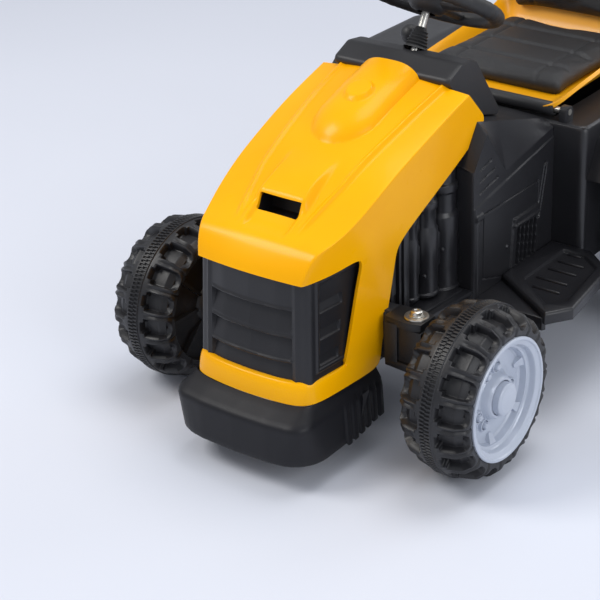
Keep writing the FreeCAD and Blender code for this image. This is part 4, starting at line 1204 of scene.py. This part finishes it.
def makeDashDetails():
    down, normal = dashFrame()
    centre, radius = middleIn("speaker_cover"), radiusIn("speaker_cover")
    cover = Moulding().lathe([(-4, radius), (1.2, radius), (2, radius - 1), (1.6, radius - 3),
                              (0.4, radius - 4)], centre, normal, 48)
    for k in range(-3, 4):  # bars across the speaker's mouth
        drop = k * dash["speakerPitch"]
        reach = math.sqrt(max((radius - 3) ** 2 - drop ** 2, 0))
        ends = [centre + down * drop + across * end + normal * 0.2 for end in (reach, -reach)]
        cover.tube(ends, 1.3, 8)
    cover.lathe([(-3, radius - 0.5), (-2.6, 0.01)], centre, normal, 32)
    cover.piece("speakerGrille", dashBlack, "frame", replaces=("speaker_cover",), slot="dash_black")
    centre = middleIn("charge_socket")
    ring = Moulding().lathe([(-10, 8), (1.2, 8), (2, 7.2), (2, 4.4), (1.2, 3.6), (-6, 3.4), (-6, 0.01)],
                            centre, normal, 40)
    ring.lathe([(-6, 1.2), (0.5, 1.1), (1.0, 0.01)], centre, normal, 16)
    ring.piece("chargeSocketRing", dashBlack, "frame", replaces=("charge_socket",), slot="dash_black")
    for node, body, paint, slotName in (("power_button", "power_switch", redShine, "red_plastic"),
                                        ("music_button", "music_switch", yellowShine, "yellow_plastic")):
        cap = Moulding().lathe(dash["buttonCap"], middleIn(node), normal, 40)
        cap.piece(node.split("_")[0] + "Cap", paint, body, replaces=(node,), slot=slotName)


dialPaint = Paint("dialWhite")
rings = dialPaint.noise(90.0, 2.0)
dialWhite = dialPaint.set(Base_Color=dialPaint.mix(rings, (0.72, 0.73, 0.75), (0.8, 0.81, 0.82)),
                          Roughness=rings * 0.1 + 0.3)
makeDash()
makeDial()
makeDashDetails()
print("dash made")

# steering wheel with finger grips, horn and column sleeve
steer = {"ring": 84.0, "grip": 10.6, "hub": 30.0, "rake": 31.0, "hornUp": 10.6, "spokes": (0, 180, 270),
         "sleeveDrop": 62, "sleeveRibs": 6}


def steeringFrame():
    rake = math.radians(steer["rake"])
    up = Vector((0, math.sin(rake), math.cos(rake)))
    reach = Vector((0, math.cos(rake), -math.sin(rake)))
    return middleIn("horn_button") - up * steer["hornUp"], up, reach


def makeSteering():
    middle, up, reach = steeringFrame()
    ringPath, radii = [], []
    count = 180
    for k in range(count + 1):
        angle = 2 * math.pi * k / count
        ringPath.append(middle + (across * math.cos(angle) - reach * math.sin(angle)) * steer["ring"])
        lower = -math.sin(angle) < 0.55
        grip = 0.55 * abs(math.sin(angle * 18)) if lower and abs(math.cos(angle)) > 0.35 else 0.0
        radii.append(steer["grip"] - 1.0 + grip)
    wheel = Moulding().tube(ringPath, radii, 18, capped=False)
    for angle in steer["spokes"]:
        a = math.radians(angle)
        ray = across * math.cos(a) - reach * math.sin(a)
        side = ray.cross(up)
        rows = []
        for t in spread(0.18, 1.0, 9):
            wide = 15 - 6.5 * smooth(0.1, 0.7, t) + 3 * smooth(0.85, 1.0, t)
            thick = 6.5 - 1.5 * smooth(0.2, 0.8, t)
            at = middle + ray * (steer["ring"] * t) - up * (4 * (1 - t))
            rows.append([at + side * (wide * math.cos(b)) + up * (thick * math.sin(b))
                         for b in spread(0, 2 * math.pi * 15 / 16, 16)])
        wheel.grid(rows, closeColumns=True)
    wheel.lathe([(-17, 12), (-15, 19), (-8, 26), (1, steer["hub"] - 2), (7, steer["hub"]),
                 (9.2, steer["hub"] - 1.4), (9.8, 25), (9.0, 22.2), (3, 21.8), (2.2, 5.4)], middle, up, 72)
    wheel.piece("steeringWheelRim", gripBlack, "steering", replaces=("steering_wheel",), slot="wheel_grip")
    horn = Moulding().lathe([(-4, 20.6), (2.6, 20.6), (4.2, 19.4), (4.9, 16), (4.3, 12.5), (4.1, 6),
                             (4.4, 0.01)], middleIn("horn_button"), up, 64)
    horn.piece("hornPad", yellowShine, "horn", replaces=("horn_button",), slot="yellow_plastic")
    # ribbed sleeve where the column leaves the dash
    foot = middle - up * steer["sleeveDrop"]
    rows = [(0, 15.5)]
    for k in range(steer["sleeveRibs"]):
        rows += [(k * 4 + 1.5, 15 - k), (k * 4 + 3.5, 12.4 - k * 0.9)]
    sleeve = Moulding().lathe(rows + [(27, 6.2)], foot, up, 48)
    sleeve.piece("columnSleeve", gripBlack, "frame", slot="wheel_grip")


makeSteering()
print("steering made")

# seat: moulded shell, two padded cushions
seat = {"half": 118.0, "pad": 103.0, "lean": 9.0, "padEdge": 4.0, "backDepth": 17.0, "hingeEnd": 112,
        "hingeArms": (-80, 0, 80)}
cloth = {"voxel": 0.005, "quickVoxel": 0.006, "pressure": 4.0, "quality": 6, "steps": 20, "reach": 0.006}


def makeSeatShell():
    low, high = boxIn("seat_shell")
    front, back = low.y + 12, high.y
    base, top = low.z + 2, high.z
    lean = math.tan(math.radians(seat["lean"]))
    rootY = back - (top - base) * lean - 4
    rows = []
    # the profile runs from the front lip over the pan and up the back
    profile = [(front - 10, base + 8), (front - 12, base + 12), (front - 6, base + 15.5),
               (front + 30, base + 14), (front + 90, base + 13), (front + 170, base + 13),
               (rootY - 34, base + 14), (rootY - 16, base + 22), (rootY - 8, base + 44),
               (rootY - 2 + 60 * lean, base + 90), (rootY + 130 * lean, base + 150),
               (rootY + 190 * lean, top - 14), (rootY + 198 * lean + 2, top - 3),
               (rootY + 200 * lean + 8, top)]
    half = seat["half"]
    for s in (0.0, 0.3, 0.6, 0.8, 0.9, 0.96, 1.0):
        row = []
        for i, (y, z) in enumerate(profile):
            t = i / (len(profile) - 1)
            narrow = 1 - 0.1 * smooth(0.75, 1.0, t) - 0.12 * (1 - smooth(0.0, 0.2, t))
            side = smooth(0.86, 1.0, s)
            wing = 30 * side * bell(t - 0.5, 0.25) if i > 2 else 0
            row.append((half * s * narrow, y - 10 * side * smooth(0.5, 0.7, t),
                        z + wing + 5 * side * (1 - t)))
        rows.append(row)
    shell = Moulding().grid(rows).mirror()
    shell.piece("seatMoulding", seatYellow, "seat", replaces=("seat_shell",), slot="yellow_plastic", levels=2,
                thick=5.0, sharp=60, weld=0.1)
    bars = Moulding()
    pin = middleIn("seat_pin")
    end, inside, outside = seat["hingeEnd"], 5, 8.6
    bars.lathe([(-end, inside), (-end, outside), (end, outside), (end, inside)], (0, pin.y, pin.z),
               across, 32)
    for x in seat["hingeArms"]:
        bars.prism([(pin.y, pin.z - 7), (pin.y + 26, pin.z - 6), (pin.y + 26, pin.z + 1), (pin.y, pin.z + 7)],
                   "x", x - 16, x + 16)
    bars.piece("seatHinge", dashBlack, "seat", slot="dash_black", bevel=1.0)


def makePad(name, node, seamsAcross):
    low, high = boxIn(node)
    lean = math.tan(math.radians(seat["lean"])) if high.z - low.z > 60 else 0.0
    pad = Moulding()
    edge = seat["padEdge"]
    low, high = low + Vector((edge, edge, 1.5)), high - Vector((edge, edge, 3.5))
    if lean:
        rows = []
        for z in spread(low.z, high.z, 14):
            y = low.y + 4 + (z - low.z) * lean
            rear = y + seat["backDepth"]
            rows.append([(low.x, y, z), (high.x, y, z), (high.x, rear, z), (low.x, rear, z)])
        pad.grid(rows, closeColumns=True).ends(len(rows), 4)
    else:
        pad.box(low.x, high.x, low.y, high.y, low.z, high.z)
    cushion = pad.piece(name, seatCover, bevel=9.0, segments=4)
    puff(cushion)
    padRelief(cushion, node, lean, seamsAcross)
    sharpen(cushion, 70)
    claim(cushion, seatCover, "seat_leather", "seat", (node,))


def puff(cushion):  # fills the cover from inside, then keeps every point near its start
    change(cushion, "REMESH", mode="VOXEL", voxel_size=cloth["voxel"])
    settle(cushion)
    start = [v.co.copy() for v in cushion.data.vertices]
    cover = change(cushion, "CLOTH")
    cover.settings.use_pressure = True
    cover.settings.uniform_pressure_force = cloth["pressure"]
    cover.settings.quality = cloth["quality"]
    cover.settings.effector_weights.gravity = 0.0
    cover.point_cache.frame_start, cover.point_cache.frame_end = 1, cloth["steps"]
    for step in range(1, cloth["steps"] + 1):
        bpy.context.scene.frame_set(step)
    settle(cushion)
    for vertex, at in zip(cushion.data.vertices, start):
        gap = vertex.co - at
        if gap.length > cloth["reach"]:
            vertex.co = at + gap.normalized() * cloth["reach"]
    bpy.context.scene.frame_set(1)


def padRelief(cushion, node, lean, seams):  # sewn channels across the cushion, and a piped edge
    low, high = boxIn(node)
    change(cushion, "SUBSURF", levels=1, render_levels=1)
    settle(cushion)

    def press(p):
        if lean:
            run = (p.z - low.z) / (high.z - low.z)
        else:
            run = (p.y - low.y) / (high.y - low.y)
        edge = 1 - smooth(seat["pad"] - 22, seat["pad"] - 8, abs(p.x))
        sink = 0.0
        for at in seams:
            sink += 3.2 * bell((run - at) * 200, 4.0) * edge
        sink += 2.0 * bell(abs(p.x) - 62, 2.6) * (1 - smooth(0.44, 0.48, abs(run - 0.5)))
        if lean:
            return Vector((p.x, min(p.y + sink, high.y), p.z))
        upper = smooth(low.z + 8, high.z - 4, p.z)
        return Vector((p.x, p.y, max(min(p.z, high.z + 3) - sink * upper, low.z + 0.3)))

    moved(cushion, press)


makeSeatShell()
makePad("seatCushion", "seat_pad", [0.25, 0.5, 0.75])
makePad("backCushion", "back_pad", [0.33, 0.66])
print("seat made")

# front beam and its kingpins
axle = {
    "forkPlan": [(103, -17), (137, -20), (153, -15), (153, 15), (137, 19), (103, 17)],
    "forkFeet": (110, 165),
    "forkThick": 10,
    "gusset": (104, 122, 118, 168),  # from and to along the beam, then its foot and top
    "gussetFaces": ((-19.0, -17.4), (17.4, 19.0)),
    "web": (-108, 108, -5, 16, 110.4, 174.6),
    "ribs": (-96, -72, 72, 96),
    "pin": (137, 0, 175),
}


def makeFrontBeam():
    beam = Moulding()
    for side in (1, -1):
        for z in axle["forkFeet"]:
            beam.prism([(side * x, y) for x, y in axle["forkPlan"]][::side], "z", z, z + axle["forkThick"])
        start, end, foot, top = axle["gusset"]
        for y0, y1 in axle["gussetFaces"]:
            low, high = sorted((side * start, side * end))
            beam.box(low, high, y0, y1, foot, top)
    beam.box(*axle["web"])
    for x in axle["ribs"]:
        beam.box(x - 2, x + 2, -7, 18, 112, 172)
    beam.piece("frontBeam", frameBlack, "frame", replaces=("front_axle_beam",), slot="frame_black",
               bevel=1.3)
    pins = Moulding()
    for side in (1, -1):
        head = (side * axle["pin"][0], *axle["pin"][1:])
        pins.lathe([(0, 14.2), (1.0, 14.8), (2.4, 14.2), (2.8, 12.5), (2.4, 9.2), (2.4, 8.8)],
                   head, upward, 48)
        pins.lathe([(2.2, 8.6), (3.2, 9.0), (4.0, 8.6), (4.2, 7.2), (7.6, 6.9), (8.8, 5.6), (9.0, 3.2),
                    (8.4, 2.6), (8.4, 0.01)], head, upward, 48)
        pins.lathe([(-73, 0.01), (-73, 6.9), (0, 6.9)], head, upward, 32)
    pins.piece("kingpinSet", zincSteel, "frame", replaces=("kingpins",), slot="zinc_steel")


makeFrontBeam()
print("front beam made")


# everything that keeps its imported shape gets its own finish
finishes = {
    "zinc_steel": zincSteel, "frame_black": frameBlack, "cowl_black": cowlBlack, "dash_black": dashBlack,
    "engine_black": engineBlack, "tread_black": treadBlack, "grille_black": grilleBlack,
    "bumper_black": bumperBlack, "yellow_plastic": yellowShine, "gauge_face": rimSilver,
    "red_plastic": redShine, "bush_plastic": paleBush, "wheel_grip": gripBlack, "motor_steel": motorSteel,
    "battery_case": batteryBlack, "pedal_black": treadBlack, "seat_leather": seatCover, "arm_black": armBlack,
    "arm_yellow": armYellow, "bucket_black": bucketBlack, "tyre_black": tyreBlack,
    "silver_plastic": rimSilver,
}
softening = {"weld": 0.00002, "flat": 1.5, "width": 0.0009, "segments": 2, "edge": 35.0, "sharp": 38.0}
bodyOf = {name: body for body, names in frame["record"]["behaviour"]["bodies"].items() for name in names}


def softened(node, finish, part):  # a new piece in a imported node's place, with its edges rounded
    copy = bpy.data.objects.new(part["node"].title().replace("_", "") + "Soft", node.data.copy())
    bpy.context.scene.collection.objects.link(copy)
    change(copy, "WELD", merge_threshold=softening["weld"])
    change(copy, "DECIMATE", decimate_type="DISSOLVE", angle_limit=math.radians(softening["flat"]))
    change(copy, "BEVEL", width=softening["width"], segments=softening["segments"], limit_method="ANGLE",
           angle_limit=math.radians(softening["edge"]))
    settle(copy)
    sharpen(copy, softening["sharp"])
    claim(copy, finish, part["material_slot"], bodyOf[part["node"]], (part["node"],))


# nodes that show from outside and want rounded edges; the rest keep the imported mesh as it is
rounded = ["boom", "stick", "bucket", "arm_bracket", "swing_post", "chassis", "shift_lever", "pedal",
           "knuckle_left", "knuckle_right"]
for part in frame["record"]["subparts"]:
    node = frame["nodes"][part["node"]]
    finish = finishes[part["material_slot"]]
    if node.hide_render:
        continue
    if part["node"] in rounded:
        softened(node, finish, part)
    else:
        for holder in node.material_slots:
            holder.material = finish

# floor, light and camera
studio = {
    "floorColour": (0.66, 0.685, 0.76),
    "floorLight": (0.7, 0.725, 0.8),
    "floorSize": 9.0,
    "airColour": (0.9, 0.93, 1.0, 1.0),
    "airStrength": 0.5,
    # name, place, size across, power and colour of each lamp
    "lamps": (("softKey", (-1.5, -1.7, 2.5), 1.2, 46, (1.0, 0.98, 0.95)),
              ("softFill", (2.7, -0.9, 1.6), 1.6, 30, (0.95, 0.97, 1.0)),
              ("softTop", (0.3, 0.4, 3.0), 1.6, 30, (1.0, 1.0, 1.0)),
              ("softBack", (1.2, 2.6, 1.8), 1.6, 17, (0.95, 0.97, 1.0))),
    "lampTarget": (0, 0, 0.2),
    "camera": {"azimuth": 37.96, "elevation": 26.62, "roll": -1.85, "distance": 2327.0,
               "aside": -27.2, "above": 147.4, "lens": 112.6, "sensor": 36.0,
               "shiftX": -0.0055, "shiftY": -0.008, "near": 0.05, "far": 60.0},
}


def makeStudio():
    mesh = bpy.data.meshes.new("studioFloor")
    shape = bmesh.new()
    bmesh.ops.create_grid(shape, x_segments=8, y_segments=8, size=studio["floorSize"])
    shape.to_mesh(mesh)
    shape.free()
    floor = bpy.data.objects.new("studioFloor", mesh)
    bpy.context.scene.collection.objects.link(floor)
    paint = Paint("studioPaper")
    soft = paint.noise(1.5, 2.0)
    tone = paint.mix(soft, studio["floorColour"], studio["floorLight"])
    floor.data.materials.append(paint.set(Base_Color=tone, Roughness=soft * 0.1 + 0.75))
    world = bpy.data.worlds.new("studioAir")
    world.use_nodes = True
    air = world.node_tree.nodes["Background"].inputs
    air["Color"].default_value = studio["airColour"]
    air["Strength"].default_value = studio["airStrength"]
    bpy.context.scene.world = world
    bpy.context.scene.view_settings.view_transform = "Standard"
    target = Vector(studio["lampTarget"])
    for name, place, size, power, colour in studio["lamps"]:
        lamp = bpy.data.lights.new(name, "AREA")
        lamp.size = size
        lamp.energy = power
        lamp.color = colour
        holder = bpy.data.objects.new(name, lamp)
        bpy.context.scene.collection.objects.link(holder)
        holder.location = place
        holder.rotation_euler = (Vector(place) - target).to_track_quat("Z", "Y").to_euler()


def makeCamera():
    view = studio["camera"]
    a, e, roll = (math.radians(view[k]) for k in ("azimuth", "elevation", "roll"))
    back = Vector((math.sin(a) * math.cos(e), -math.cos(a) * math.cos(e), math.sin(e)))
    level = Vector((math.cos(a), math.sin(a), 0))
    over = back.cross(level)
    right = level * math.cos(roll) + over * math.sin(roll)
    up = over * math.cos(roll) - level * math.sin(roll)
    lens = bpy.data.cameras.new("viewLens")
    lens.lens = view["lens"]
    lens.sensor_width = view["sensor"]
    lens.shift_x, lens.shift_y = view["shiftX"], view["shiftY"]
    lens.clip_start, lens.clip_end = view["near"], view["far"]
    camera = bpy.data.objects.new("viewCamera", lens)
    turn = Matrix((right, up, back)).transposed()
    where = spot(back * view["distance"] + right * view["aside"] + up * view["above"])
    camera.matrix_world = Matrix.Translation(where) @ turn.to_4x4()
    bpy.context.scene.collection.objects.link(camera)
    bpy.context.scene.camera = camera


makeStudio()
makeCamera()
print("studio made")
